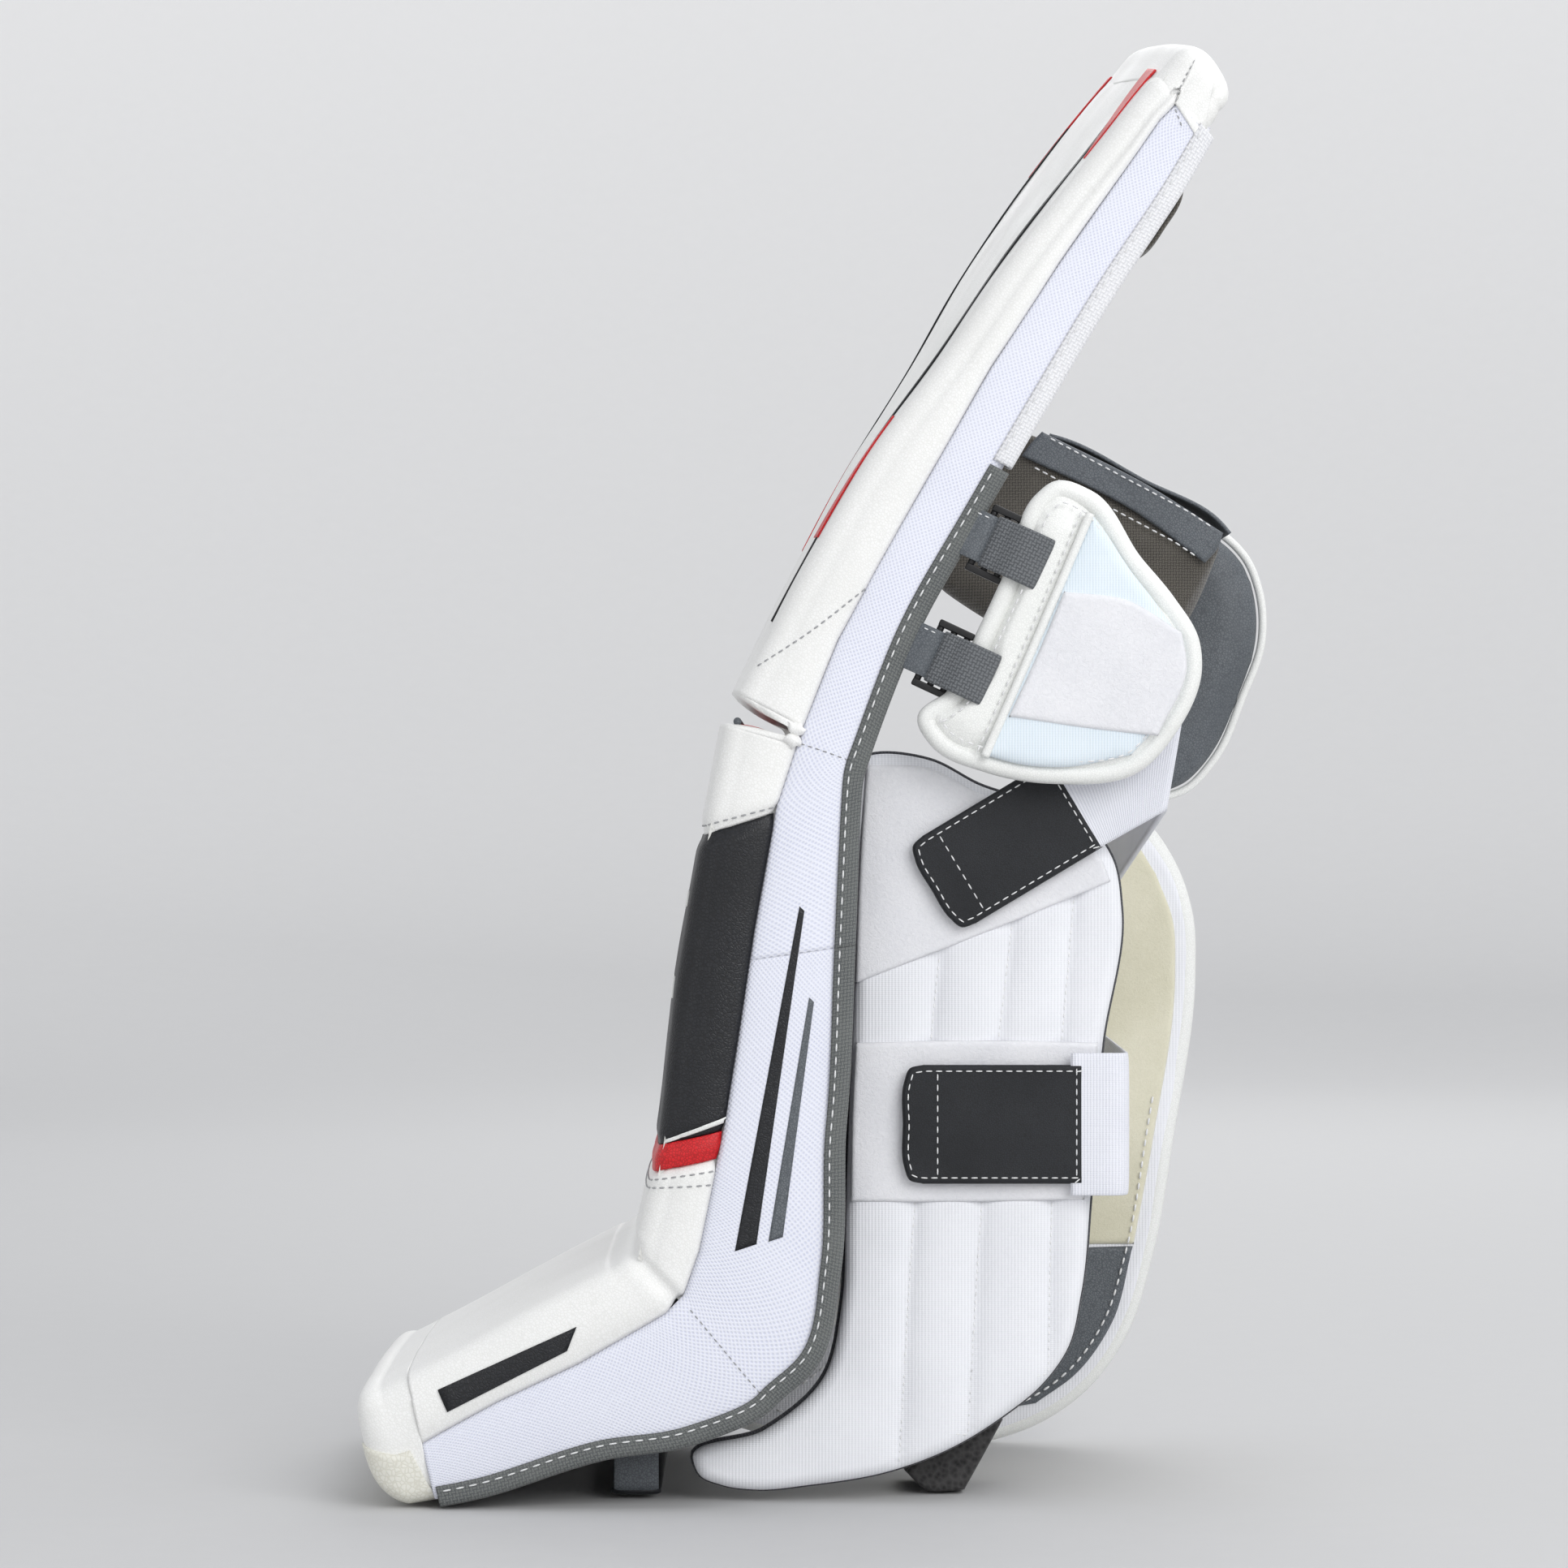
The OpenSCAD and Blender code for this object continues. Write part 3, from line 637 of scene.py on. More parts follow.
def leather_share(rows):
    """The share of the thickness that the side leather covers: where the line from front to back
    crosses the leather's edge, found for all rows and edge segments at once."""
    p, r = rows[:, None, 0:2], (rows[:, 2:4] - rows[:, 0:2])[:, None]
    a, d = LEATHER_EDGE[:-1], np.diff(LEATHER_EDGE, axis=0)
    cross = r[..., 0] * d[:, 1] - r[..., 1] * d[:, 0]
    gap = a - p
    t = (gap[..., 0] * d[:, 1] - gap[..., 1] * d[:, 0]) / cross
    u = (gap[..., 0] * r[..., 1] - gap[..., 1] * r[..., 0]) / cross
    good = (u >= -0.02) & (u <= 1.02) & (t > 0.05) & (t < 0.98)
    t = np.where(good, t, np.nan)
    share = np.nanmean(t, axis=1)
    known = np.isfinite(share)
    return np.interp(np.arange(len(share)), np.flatnonzero(known), share[known])[:, None]


print("profile rows:", len(LOWER), len(UPPER))

# %% [markdown]
# ## Leather over the front
# Each leather panel wraps the front and both front corners, and its edges are turned in where it
# is sewn to the next one. A panel could be a flat plate with a bevel, but real ones are pulled
# over foam: they crown a little between their seams, dip at them, and ripple softly. So the panel
# is a grid over the section, moved out by the crown and in by the seams.

# %% Leather panels
CORNER = 0.0095
FRONT_CROWN = 0.0025
SIDE_CROWN = 0.0022
panels = {}


def crown(t):
    """A pulled-over bulge from 0 at both seams to 1: the sine of half a turn, to the power 0.7."""
    return np.sin(np.pi * np.clip(t, 0, 1)) ** 0.7


def seam_dips(rows, dips, width=0.0035):
    """How far each row lies in a seam: for each seam row given as a share of the panel's length, a
    bell curve of the distance to it, and the deepest of these."""
    travel = np.r_[0, np.cumsum(np.linalg.norm(np.diff(rows[:, :4], axis=0), axis=1))] / 1.4
    where = np.array([travel[-1] * d for d in dips])
    return np.exp(-((travel[:, None] - where) / width) ** 2).max(1)[:, None] if dips else 0.0


def front_panel(name, rows, material, dips=(0, 1), seed=1, dip=0.0022, share=None, wave=0.0007):
    """A leather panel over the front: side, rounded corner, front, corner and side, as depth and
    width, crowned between its seams and rippled."""
    deep = depth_of(rows)
    edge = (leather_share(rows) if share is None else share) * deep
    radius = np.minimum(CORNER, edge * 0.7)
    t = np.linspace(0, 1, 12)[None, :-1]
    turn_by = np.linspace(0, math.pi / 2, 8)[None, :-1]
    f = np.linspace(-1, 1, 44)[None]
    side_d = edge + (radius - edge) * t
    side_w = (HALF_W + SIDE_CROWN * crown(0.04 + 0.96 * t)
              - 0.0007 * np.exp(-(t * edge / 0.003) ** 2))
    turn_d = radius * (1 - np.sin(turn_by))
    turn_w = HALF_W - radius + radius * np.cos(turn_by)
    front_d = -FRONT_CROWN * (1 - f**2) ** 0.6 + 0 * deep
    front_w = (HALF_W - radius) * f
    d = np.hstack([side_d, turn_d, front_d, turn_d[:, ::-1], side_d[:, ::-1]])
    w = np.hstack([-side_w, -turn_w, front_w, turn_w[:, ::-1], side_w[:, ::-1]])
    grid = facing(at(rows, d, w), (-1, 0, 0.2))
    n = normals_of(grid)
    seam = seam_dips(rows, dips)
    sunk = dip * seam - wave * ripple(grid, 0.07, seed) * (1 - seam)
    grid = grid - n * sunk[..., None]
    panels[name] = (grid, n)
    return skin(name, grid, 0.0026, (-1, 0, 0.2), material)


low_rows = part_of(LOWER, 0.5, 8, 200)
lower_leather = front_panel("lower_leather", low_rows, white_leather, (0.603, 1), 3)
red_band = front_panel("red_band", part_of(LOWER, 8, 9, 12), red_leather, (0, 1), 4, 0.001)
black_panel = front_panel("black_panel", part_of(LOWER, 9, 11, 90), black_leather, (0, 1), 5,
                          0.0015)
upper_band = front_panel("shin_top_leather", part_of(LOWER, 11, 12, 36), white_leather, (0,), 6)
thigh_leather = front_panel("thigh_leather", part_of(UPPER, 0, 6, 190), white_leather, (1,), 7)
print("leather panels:", sorted(panels))


# %% [markdown]
# ## The two ends
# Both ends are closed forms: rings round the whole section, then rings that shrink towards the
# middle while they move outwards, as on a pulled-tight corner of a mattress. An ivory guard of
# tougher leather wraps the lower half of the toe.

# %% Toe cap and thigh cap
def whole_ring(rows, corner=0.012, back_corner=0.008):
    """Rings round the whole section: front, side, back, side, with rounded corners, as depth and
    width."""
    deep = depth_of(rows)
    q = np.linspace(0, math.pi / 2, 8)[None]
    f = np.linspace(-1, 1, 42)[None, 1:-1]
    s = np.linspace(0, 1, 12)[None, 1:-1]
    front = np.hstack([corner * (1 - np.cos(q[:, ::-1])), 0 * f - FRONT_CROWN * (1 - f**2) ** 0.6,
                       corner * (1 - np.cos(q))]) + 0 * deep
    front_w = np.hstack([-(HALF_W - corner) - corner * np.sin(q[:, ::-1]), (HALF_W - corner) * f,
                         HALF_W - corner + corner * np.sin(q)]) + 0 * deep
    side_d = corner + (deep - corner - back_corner) * s
    side_w = HALF_W + SIDE_CROWN * crown(s) * 0.7 + 0 * deep
    back = np.hstack([deep - back_corner * (1 - np.sin(q)), deep + 0 * f,
                      deep - back_corner * (1 - np.sin(q[:, ::-1]))])
    back_w = np.hstack([HALF_W - back_corner + back_corner * np.cos(q), -(HALF_W - back_corner) * f,
                        -(HALF_W - back_corner) - back_corner * np.cos(q[:, ::-1])]) + 0 * deep
    return at(rows, np.hstack([front, side_d, back, side_d[:, ::-1]]),
              np.hstack([front_w, side_w, back_w, -side_w]))


def end_cap(name, rows, material, out, bulge, seed, square=0.75):
    """A cap: rings round the section, then thirteen that close on its middle line. Their distance
    from it shrinks by a power of the cosine of a quarter turn, and they move out by its sine."""
    rings = whole_ring(rows)
    last = rings[-1]
    width = np.clip(last[:, 1], 0.011 - HALF_W, HALF_W - 0.011)[None]
    middle = at(rows[-1:], depth_of(rows[-1:]) / 2, width)[0]
    q = np.linspace(0, math.radians(84), 14)[1:, None, None]
    end = middle + (last - middle) * np.cos(q) ** square + np.array(out) * bulge * np.sin(q)
    rings = np.concatenate([rings, end])
    rings = rings + 0.0005 * ripple(rings, 0.06, seed)[..., None] * np.array(out)
    return tube(name, rings, material), rings


toe_rows = along(LOWER[5:STEP // 2 + 1][::-1], np.linspace(0, 1, 20))
toe, toe_rings = end_cap("toe_end_leather", toe_rows, white_leather, (-0.99, 0, 0.12), 0.0135, 8,
                         0.6)
# The guard takes the back half of the toe's rings, and starts further out towards its upper edge
half = toe_rings[:, 61:127]
cols = np.arange(half.shape[1])
starts = 9 * np.clip(1 - np.minimum(cols, cols[::-1]) / 7, 0, 1)
rows = starts + (len(half) - 1 - starts) * np.linspace(0, 1, 50)[:, None]
low = rows.astype(int).clip(0, len(half) - 2)
share = (rows - low)[..., None]
guard = half[low, cols] * (1 - share) + half[low + 1, cols] * share
guard = facing(guard, (-1, 0, -0.8))
guard = guard + 0.0009 * normals_of(guard)
guard[..., 2] = np.maximum(guard[..., 2], 0.0003)
toe_guard = skin("toe_guard_leather", guard, 0.0014, (-1, 0, -0.8), toe_leather)
cap_rows = along(UPPER[int(5.85 * STEP):7 * STEP + 1], np.linspace(0, 1, 16))
cap = end_cap("thigh_cap_leather", cap_rows, white_leather, (0.85, 0, 0.52), 0.0095, 9)[0]
print("caps:", toe.name, toe_guard.name, cap.name)

# %% [markdown]
# ## Mesh sides, back panels and binding tape
# Behind the leather the sides are spacer mesh, sewn to the leather in front and to tape at the
# back edge. They cross the knee and the ankle, where the pad flexes. The tape is folded over the
# edge: an L-shaped ribbon carried along it.

# %% Side mesh and back panels
def side_panel(name, rows, side, material, seed):
    """A side mesh panel: depth from the leather's edge to the back, width crowned between."""
    deep = depth_of(rows)
    edge = leather_share(rows) * deep
    t = np.linspace(0, 1, 22)[None]
    w = HALF_W + 0.0022 * crown(t) - 0.0006 * (np.exp(-((t * (deep - edge)) / 0.002) ** 2)
                                              + np.exp(-(((1 - t) * (deep - edge)) / 0.002) ** 2))
    grid = at(rows, edge + (deep - edge) * t, side * w)
    grid[..., 1] += side * 0.0004 * ripple(grid, 0.045, seed)
    return skin(name, grid, 0.0022, (0, side, 0), material)


def back_panel(name, rows, material, seed):
    """A back panel between the two tapes, crowned a little across its width."""
    f = np.linspace(-1, 1, 40)[None]
    d = depth_of(rows) + 0.0015 * (1 - f**2) ** 0.5
    grid = at(rows, d, (HALF_W - 0.004) * f)
    grid = grid + 0.0005 * ripple(grid, 0.06, seed)[..., None] * normals_of(grid)
    return skin(name, grid, 0.002, (1, 0, -0.3), material)


def tape(name, rows, side, material):
    """Tape folded over the back edge: an L of depth and width with a round bend, 1.8 mm thick,
    carried along the edge."""
    bend = np.linspace(0, math.pi / 2, 7)
    line = mm(np.vstack([[[-5.5, 1.4], [-3, 1.6], [-1, 1.6]],
                         np.stack([0.2 + 2.4 * np.sin(bend), -0.8 + 2.4 * np.cos(bend)], 1),
                         [[2.6, -4], [2.4, -7], [2.0, -10]]]))
    step = np.gradient(line, axis=0)
    normal = unit(np.stack([-step[:, 1], step[:, 0]], 1))
    ring = np.vstack([line + 0.0009 * normal, (line - 0.0009 * normal)[::-1]])
    d = depth_of(rows) + ring[None, :, 0]
    return tube(name, at(rows, d, side * (HALF_W + ring[None, :, 1])), material)


low_side = part_of(LOWER, 0.5, 10, 210)
high_side = part_of(KNEE_GUSSET, 0, 8.9, 200)
sides, tapes = {}, {}
for label, side in (("outer", -1), ("inner", 1)):
    sides["low", label] = side_panel("lower_side_mesh_" + label, low_side, side, side_mesh, 10)
    sides["high", label] = side_panel("upper_side_mesh_" + label, high_side, side, side_mesh, 11)
    for key, name, rows, finish in (
            ("low", "lower_tape_", part_of(LOWER, 0.55, 10, 220), grey_binding),
            ("high", "knee_tape_", part_of(KNEE_GUSSET, 0, 5.4, 130), grey_binding),
            ("top", "thigh_tape_", part_of(KNEE_GUSSET, 5.42, 8.95, 90), white_binding)):
        tapes[key, label] = tape(name + label, rows, side, finish)
sole = back_panel("sole_nylon", part_of(LOWER, 0.45, 4, 76), back_nylon, 12)
calf_back = back_panel("calf_back_nylon", part_of(LOWER, 5, 12, 130), back_nylon, 13)
thigh_back = back_panel("thigh_back_mesh_panel", part_of(UPPER, 0, 6, 110), thigh_mesh, 14)
print("side panels, tapes and backs:", len(sides), len(tapes))

# %% [markdown]
# ## Carrying the pieces
# Soft pieces that cross the ankle or the knee, and the calf wings, sewn to the pad along their
# front edge, have a blend between two bodies in the table below, one for all pieces at a joint;
# here they are only left in place with their transforms baked. Everything else rides on one body.

# %% Carrying helper
BENDS = {
    "ankle": ("boot", "shin", (-0.078, 0, 0.054), (-0.036, 0, 0.096)),
    "knee": ("shin", "thigh", (-0.0269, 0, 0.3006), (-0.0091, 0, 0.3474)),
    "outer calf": ("shin", "outer_wing", (0.010, -0.1, 0.15), (0.050, -0.1, 0.15)),
    "inner calf": ("shin", "inner_wing", (0.010, 0.1, 0.15), (0.050, 0.1, 0.15)),
}


def carry(piece, how, finish, *nodes):
    """Leaves a piece in place with its transform baked if how is one of the shared blends, or
    makes it ride on a body, and hides the CAD nodes that it stands for. finish is not used."""
    if how in BENDS:
        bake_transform(piece)
    else:
        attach(piece, how)
    if nodes:
        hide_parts(*nodes)
    return piece


carry(toe, "boot", "white_leather")
carry(toe_guard, "boot", "toe_leather", "toe_cap")
carry(lower_leather, "ankle", "white_leather", "boot_face", "shin_face_lower")
carry(red_band, "shin", "red_leather", "shin_chevron")
carry(black_panel, "shin", "black_leather", "shin_face_middle")
carry(upper_band, "knee", "white_leather", "shin_face_upper")
carry(thigh_leather, "knee", "white_leather", "thigh_face")
carry(cap, "thigh", "white_leather", "thigh_top_cap")
for label in ("outer", "inner"):
    carry(sides["low", label], "ankle", "side_mesh", "boot_gusset_" + label)
    carry(sides["high", label], "knee", "side_mesh", "shin_gusset_" + label,
          "thigh_gusset_" + label)
    carry(tapes["low", label], "ankle", "grey_binding", "boot_binding_" + label)
    carry(tapes["high", label], "knee", "grey_binding", "shin_binding_" + label)
    carry(tapes["top", label], "thigh", "grey_binding", "thigh_binding_" + label)
carry(sole, "boot", "back_nylon", "boot_sole")
carry(calf_back, "shin", "back_nylon", "shin_back_panel")
carry(thigh_back, "thigh", "thigh_back_mesh", "thigh_back_panel")

# %% [markdown]
# ## The knee groove
# Between shin and thigh the front is open, so that the pad can flex. Both lips are leather turned
# in over the foam, with a soft roll, and a red strip with grey piping is sewn in between.

# %% Lips and fold strip


def lip(name, row, bulge, panel_row, how):
    """The turned-in end of a panel: from the panel's end line straight in to the depth of the
    side leather, rolled out into the groove by half a sine."""
    share = leather_share(row[None])[0, 0]
    deep = depth_of(row[None])[0, 0]
    k = np.linspace(0, 1, 14)[:, None, None]
    inward = np.array([row[2] - row[0], 0, row[3] - row[1]]) / deep
    start_line = panel_row[None]
    travel = ((np.array([row[0], 0, row[1]]) + inward * share * deep) - start_line)
    travel = (travel * inward).sum(-1, keepdims=True) * inward
    upward = np.array([-inward[2], 0, inward[0]])
    grid = start_line + travel * k + upward * bulge * np.sin(np.pi * k) ** 0.7
    return carry(skin(name, grid, 0.002, upward * np.sign(bulge), white_leather), how,
                 "white_leather")


lip("lower_lip", part_of(LOWER, 11, 12, 36)[-1], 0.0028, panels["shin_top_leather"][0][-1], "knee")
lip("upper_lip", part_of(UPPER, 0, 6, 190)[0], -0.0028, panels["thigh_leather"][0][0], "knee")
low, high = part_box("knee_fold_insert")
y = np.linspace(low.y, high.y, 90)[:, None]
q = round_angles(20)[None]
ring = np.stack([0.0085 * np.cos(q), 0.0016 * np.sin(q)], -1)
slope = math.radians(16.5)
mid_x, mid_z = (low.x + high.x) / 2, (low.z + high.z) / 2
insert = np.stack([mid_x + ring[..., 0] * math.cos(slope) + 0 * y, y + 0 * q,
                   mid_z - ring[..., 0] * math.sin(slope) + ring[..., 1] + 0 * y], -1)
carry(tube("fold_strip", insert, red_leather), "knee", "red_leather", "knee_fold_insert")
cord_ring = 0.0017 * np.stack([np.cos(q), 0 * q, np.sin(q)], -1)
welt = cord_ring + np.stack([low.x - 0.001 + 0 * y, y, mid_z + 0.0042 + 0 * y], -1)
carry(tube("fold_piping", welt, grey_vinyl), "knee", "grey_vinyl")
print("groove at", [round(v, 4) for v in low])

# %% [markdown]
# ## Plates and ribbons
# Wings, tabs and patches are flat padded plates. A plate is a grid blended between four edge
# curves, and its thickness is a rounded rim with a crown, less a crease along each sewn channel.
# Straps are ribbons: a flat rounded outline carried along a path.

# %% Plates and ribbons


def outline(edges, sharp):
    """Four edges as curves. Sharp ones are smoothed one by one. The others are smoothed as one
    closed loop and cut again, so that the corners between them are round."""
    top, rear, bottom, front = (mm(e) for e in edges)
    if sharp:
        return [rounded(e) for e in (top, rear, bottom, front)]
    loop = np.vstack([top[:-1], rear[:-1], bottom[:0:-1], front[:0:-1]])
    curve = rounded(np.vstack([loop[-2:], loop, loop[:3]]))[2 * STEP:]
    cuts = np.cumsum([0] + [len(e) - 1 for e in (top, rear, bottom, front)]) * STEP
    t, r, b, f = (curve[i:j + 1] for i, j in zip(cuts[:-1], cuts[1:]))
    return [t, r, b[::-1], f[::-1]]


def coons(edges, rows, cols, sharp=False):
    """Grid between four edges: the blend of front and rear, plus the blend of top and bottom, less
    the blend of the corners. Rows and columns are closer together near the edges."""
    def eased(n):
        t = np.linspace(0, 1, n)
        return 0.55 * t + 0.45 * (1 - np.cos(np.pi * t)) / 2
    u, v = eased(cols), eased(rows)
    top, rear, bottom, front = outline(edges, sharp)
    t, b = along(top, u)[None], along(bottom, u)[None]
    f, r = along(front, v)[:, None], along(rear, v)[:, None]
    u, v = u[None, :, None], v[:, None, None]
    corners = ((1 - u) * ((1 - v) * t[:, :1] + v * b[:, :1])
               + u * ((1 - v) * t[:, -1:] + v * b[:, -1:]))
    return (1 - v) * t + v * b + (1 - u) * f + u * r - corners


def rim_of(grid):
    """The closed rim of a grid."""
    return np.vstack([grid[0], grid[1:, -1], grid[-1, -2::-1], grid[-2::-1, 0]])


def plate(name, edges, y, thick, material, rows=60, cols=40, rim=0.006, crown_by=0.0, channels=(),
          crease=(0.003, 0.0035), lean=None, wave=0.0, sharp=False):
    """A padded plate in X and Z about the width y: half its thickness times a quarter circle over
    the rim, plus a crown, less an exponential crease along each channel."""
    g = coons(edges, rows, cols, sharp)
    near_rim = distance(g, rim_of(g))
    edge = np.sqrt(1 - (1 - np.minimum(near_rim / rim, 1)) ** 2)
    height = edge * (thick / 2 + crown_by * (1 - np.exp(-near_rim / 0.018)))
    for line in channels:
        height -= edge * crease[0] * np.exp(-distance(g, rounded(mm(line))) / crease[1])
    points = np.stack([g[..., 0], 0 * height, g[..., 1]], -1)
    height = height + edge * wave * ripple(points, 0.04, len(name))
    side = np.array([0, 1.0, 0])
    near = points + side * (y - height)[..., None]
    far = points + side * (y + height)[..., None]
    if lean:
        near, far = leaned(near, *lean), leaned(far, *lean)
    return pillow(name, near, far, material)


def ribbon(name, path, wide, width, thick, material, soft=0.35):
    """A strap: a flat superellipse of width and thickness carried along a path. wide is the
    direction of its width, and its thickness is square to that and to the path."""
    path = np.asarray(path, float)
    tangent = unit(np.gradient(path, axis=0))
    wide = np.broadcast_to(np.asarray(wide, float), path.shape)
    wide = unit(wide - (wide * tangent).sum(1, keepdims=True) * tangent)
    normal = np.cross(tangent, wide)
    q = round_angles(32)
    a = width / 2 * signed(np.cos(q), soft)
    b = thick / 2 * signed(np.sin(q), 0.6)
    rings = path[:, None] + wide[:, None] * a[None, :, None] + normal[:, None] * b[None, :, None]
    return tube(name, rings, material)


def piping(name, line, radius, material, closed=True):
    """A round cord along a line of points: circles square to the line."""
    line = np.asarray(line, float)
    step = np.roll(line, -1, 0) - np.roll(line, 1, 0) if closed else np.gradient(line, axis=0)
    tangent = unit(step)
    up = np.broadcast_to([0, 1.0, 0], line.shape)
    other = np.cross(tangent, up)
    q = round_angles(12)[None, :, None]
    rings = line[:, None] + radius * (np.cos(q) * up[:, None] + np.sin(q) * other[:, None])
    return tube(name, rings, material, closed)


def closed_line(edges, count, inset=0.0, sharp=False):
    """Evenly spaced points round a plate's rim, moved inwards by inset."""
    rim = rim_of(coons(edges, 80, 60, sharp))
    line = along(rim, np.linspace(0, 1, count + 1))[:-1]
    step = np.roll(line, -1, 0) - np.roll(line, 1, 0)
    normal = unit(np.stack([-step[:, 1], step[:, 0]], 1))
    if ((rim.mean(0) - line) * normal).sum() < 0:
        normal = -normal
    return line + normal * inset


def to_3d(line, y):
    """A line in X and Z put at a width y."""
    return np.stack([line[:, 0], np.full(len(line), y), line[:, 1]], 1)


# %% [markdown]
# ## Stitches
# Thread is what makes a sewn piece read as sewn. Each stitch is a small closed spindle with 20
# points, and a whole row is one mesh: every stitch's points are worked out at once from the frame
# of the path. The rows lie slightly sunk into the surface that they hold.

# %% Stitches


def stitches(name, path, normal, how, pitch=0.0045, length=0.003, radius=0.00045,
             material=white_thread, turned=0.0, finish="white_leather"):
    """A row of stitches along a path: spindles that taper at both ends, a pitch apart, each turned
    in the surface by an angle in degrees."""
    path, normal = np.asarray(path, float), np.broadcast_to(np.asarray(normal, float), path.shape)
    total = length_of(path)
    count = max(2, int(total / pitch))
    share = (np.arange(count) + 0.5) / count
    middle = along(path, share)
    travel = np.r_[0, np.cumsum(np.linalg.norm(np.diff(path, axis=0), axis=1))] / total
    n = unit(np.stack([np.interp(share, travel, normal[:, k]) for k in range(3)], 1))
    ahead = along(path, np.minimum(share + 0.002, 1)) - along(path, np.maximum(share - 0.002, 0))
    t = unit(ahead - (ahead * n).sum(1, keepdims=True) * n)
    b = np.cross(n, t)
    angle = math.radians(turned)
    t, b = t * math.cos(angle) + b * math.sin(angle), b * math.cos(angle) - t * math.sin(angle)
    q = round_angles(6)
    at_x, size = np.array([-0.72, 0, 0.72]), np.array([0.8, 1, 0.8])
    local = np.stack([np.repeat(at_x, 6) * length / 2, np.outer(size, np.cos(q)).ravel() * radius,
                      np.outer(size, np.sin(q)).ravel() * radius], 1)
    local = np.vstack([local, [[-length / 2, 0, -radius / 2], [length / 2, 0, -radius / 2]]])
    points = (middle[:, None] + t[:, None] * local[None, :, :1] + b[:, None] * local[None, :, 1:2]
              + n[:, None] * (local[None, :, 2:] + radius * 0.45))
    j = np.arange(6)
    after = (j + 1) % 6
    fan = np.vstack([np.stack([after, j, np.full(6, 18)], 1),
                     np.stack([12 + j, 12 + after, np.full(6, 19)], 1)])
    first = (np.arange(count) * 20)[:, None, None]
    faces = [(quads(3, 6, around=True)[None] + first).reshape(-1, 4),
             (fan[None] + first).reshape(-1, 3)]
    return carry(put(name, points, faces, material), how, finish)


def sewn(name, line, pieces, side, how, **options):
    """A row of stitches along a line in X and Z (millimetres), dropped onto pieces."""
    path = along(rounded(mm(line)), np.linspace(0, 1, 90))
    return stitches(name, *landed(path, pieces, side), how, **options)


FINE_GREY = {"pitch": 0.003, "length": 0.002, "radius": 0.0003, "material": grey_thread}
for label, side in (("outer", -1), ("inner", 1)):
    for part, rows, how in (("low", part_of(LOWER, 0.6, 10, 160), "ankle"),
                            ("high", part_of(KNEE_GUSSET, 0, 5.35, 120), "knee"),
                            ("top", part_of(KNEE_GUSSET, 5.5, 8.9, 80), "thigh")):
        line = at(rows, depth_of(rows) - 0.0032, side * (HALF_W + 0.0025))[:, 0]
        stitches(f"tape_stitches_{part}_{label}", line, (0, side, 0), how, 0.0055, 0.0036, 0.00036,
                 finish="grey_binding")
    low_pieces = [lower_leather, sides["low", label]]
    high_pieces = [sides["high", label], thigh_leather]
    sewn("knee_cross_stitches_" + label, [[-15, 320], [-3, 316], [9, 311.5]], high_pieces, side,
         "knee", **FINE_GREY)
    sewn("mitre_stitches_" + label, [[-61, 84], [-46, 66], [-31, 48]], low_pieces, side, "ankle",
         **FINE_GREY)
    sewn("thigh_seam_stitches_" + label, [[-33, 352], [-10, 367], [13, 385]], high_pieces, side,
         "knee", pitch=0.0036, length=0.0024, radius=0.0004, material=grey_thread)
for name, panel, row, how in (("shin_top_stitches", "shin_top_leather", 3, "knee"),
                              ("shin_low_stitches_a", "lower_leather", -6, "ankle"),
                              ("shin_low_stitches_b", "lower_leather", -13, "ankle")):
    grid, normal = panels[panel]
    stitches(name, grid[row], normal[row], how, 0.004, 0.0026, 0.0004, grey_thread)
print("stitch rows on the pad are sewn")

# %% [markdown]
# ## Calf wings
# The outer wing is white ribbed nylon over thin foam, quilted by three long channels. Its upper
# part is brushed loop, which the straps' tabs grip, and a second band of loop lies below. The
# inner wing is larger, with a thick rolled rim, a cream knit liner and a grey wear patch low down.

# %% Calf wings
OUTER_WING = [
    [(15, 315), (40, 313), (62, 302), (85, 295), (104, 288), (117, 272)],
    [(117, 272), (121, 250), (113, 193), (108, 129), (104, 88), (98, 64), (88, 50), (71, 36),
     (50, 23), (24, 13), (-10, 7), (-34, 5), (-48, 7)],
    [(-60, 18), (-57, 11), (-48, 7)],
    [(15, 315), (9.5, 250), (7, 190), (4.5, 122), (3, 84), (-5, 52), (-30, 30), (-60, 18)],
]
OUTER_CHANNELS = [[(27, 14), (34, 129), (44, 230)], [(56, 26), (63, 139), (75, 247)],
                  [(90, 52), (92, 139), (101, 258)]]
outer_wing = plate("outer_calf_wing_pad", OUTER_WING, -0.101, 0.011, wing_mesh, 170, 70, 0.0055,
                   0.0012, OUTER_CHANNELS, (0.0036, 0.0048), wave=0.0005)
carry(outer_wing, "outer calf", "wing_mesh", "outer_calf_wing")
LOOP_FIELD = [[(13, 311), (40, 309.5), (62, 298.5), (85, 291), (102, 284), (113, 270)],
              [(113, 270), (116, 262)], [(8.5, 219), (60, 239), (116, 262)],
              [(13, 311), (10, 265), (8.5, 219)]]
loop_field = plate("outer_loop_field_pile", LOOP_FIELD, -0.1071, 0.0034, loop_fabric, 70, 60, 0.002,
                   wave=0.0003, sharp=True)
carry(loop_field, "outer calf", "loop_fabric", "outer_loop_field")
LOOP_BAND = [[(8.5, 194), (60, 195), (111, 194)], [(111, 194), (107, 160), (105, 128)],
             [(6.5, 127), (60, 127), (105, 128)], [(8.5, 194), (7, 160), (6.5, 127)]]
loop_band = plate("outer_loop_band_pile", LOOP_BAND, -0.1071, 0.0026, loop_fabric, 50, 60, 0.002,
                  wave=0.0002, sharp=True)
carry(loop_band, "outer calf", "loop_fabric", "outer_loop_band")
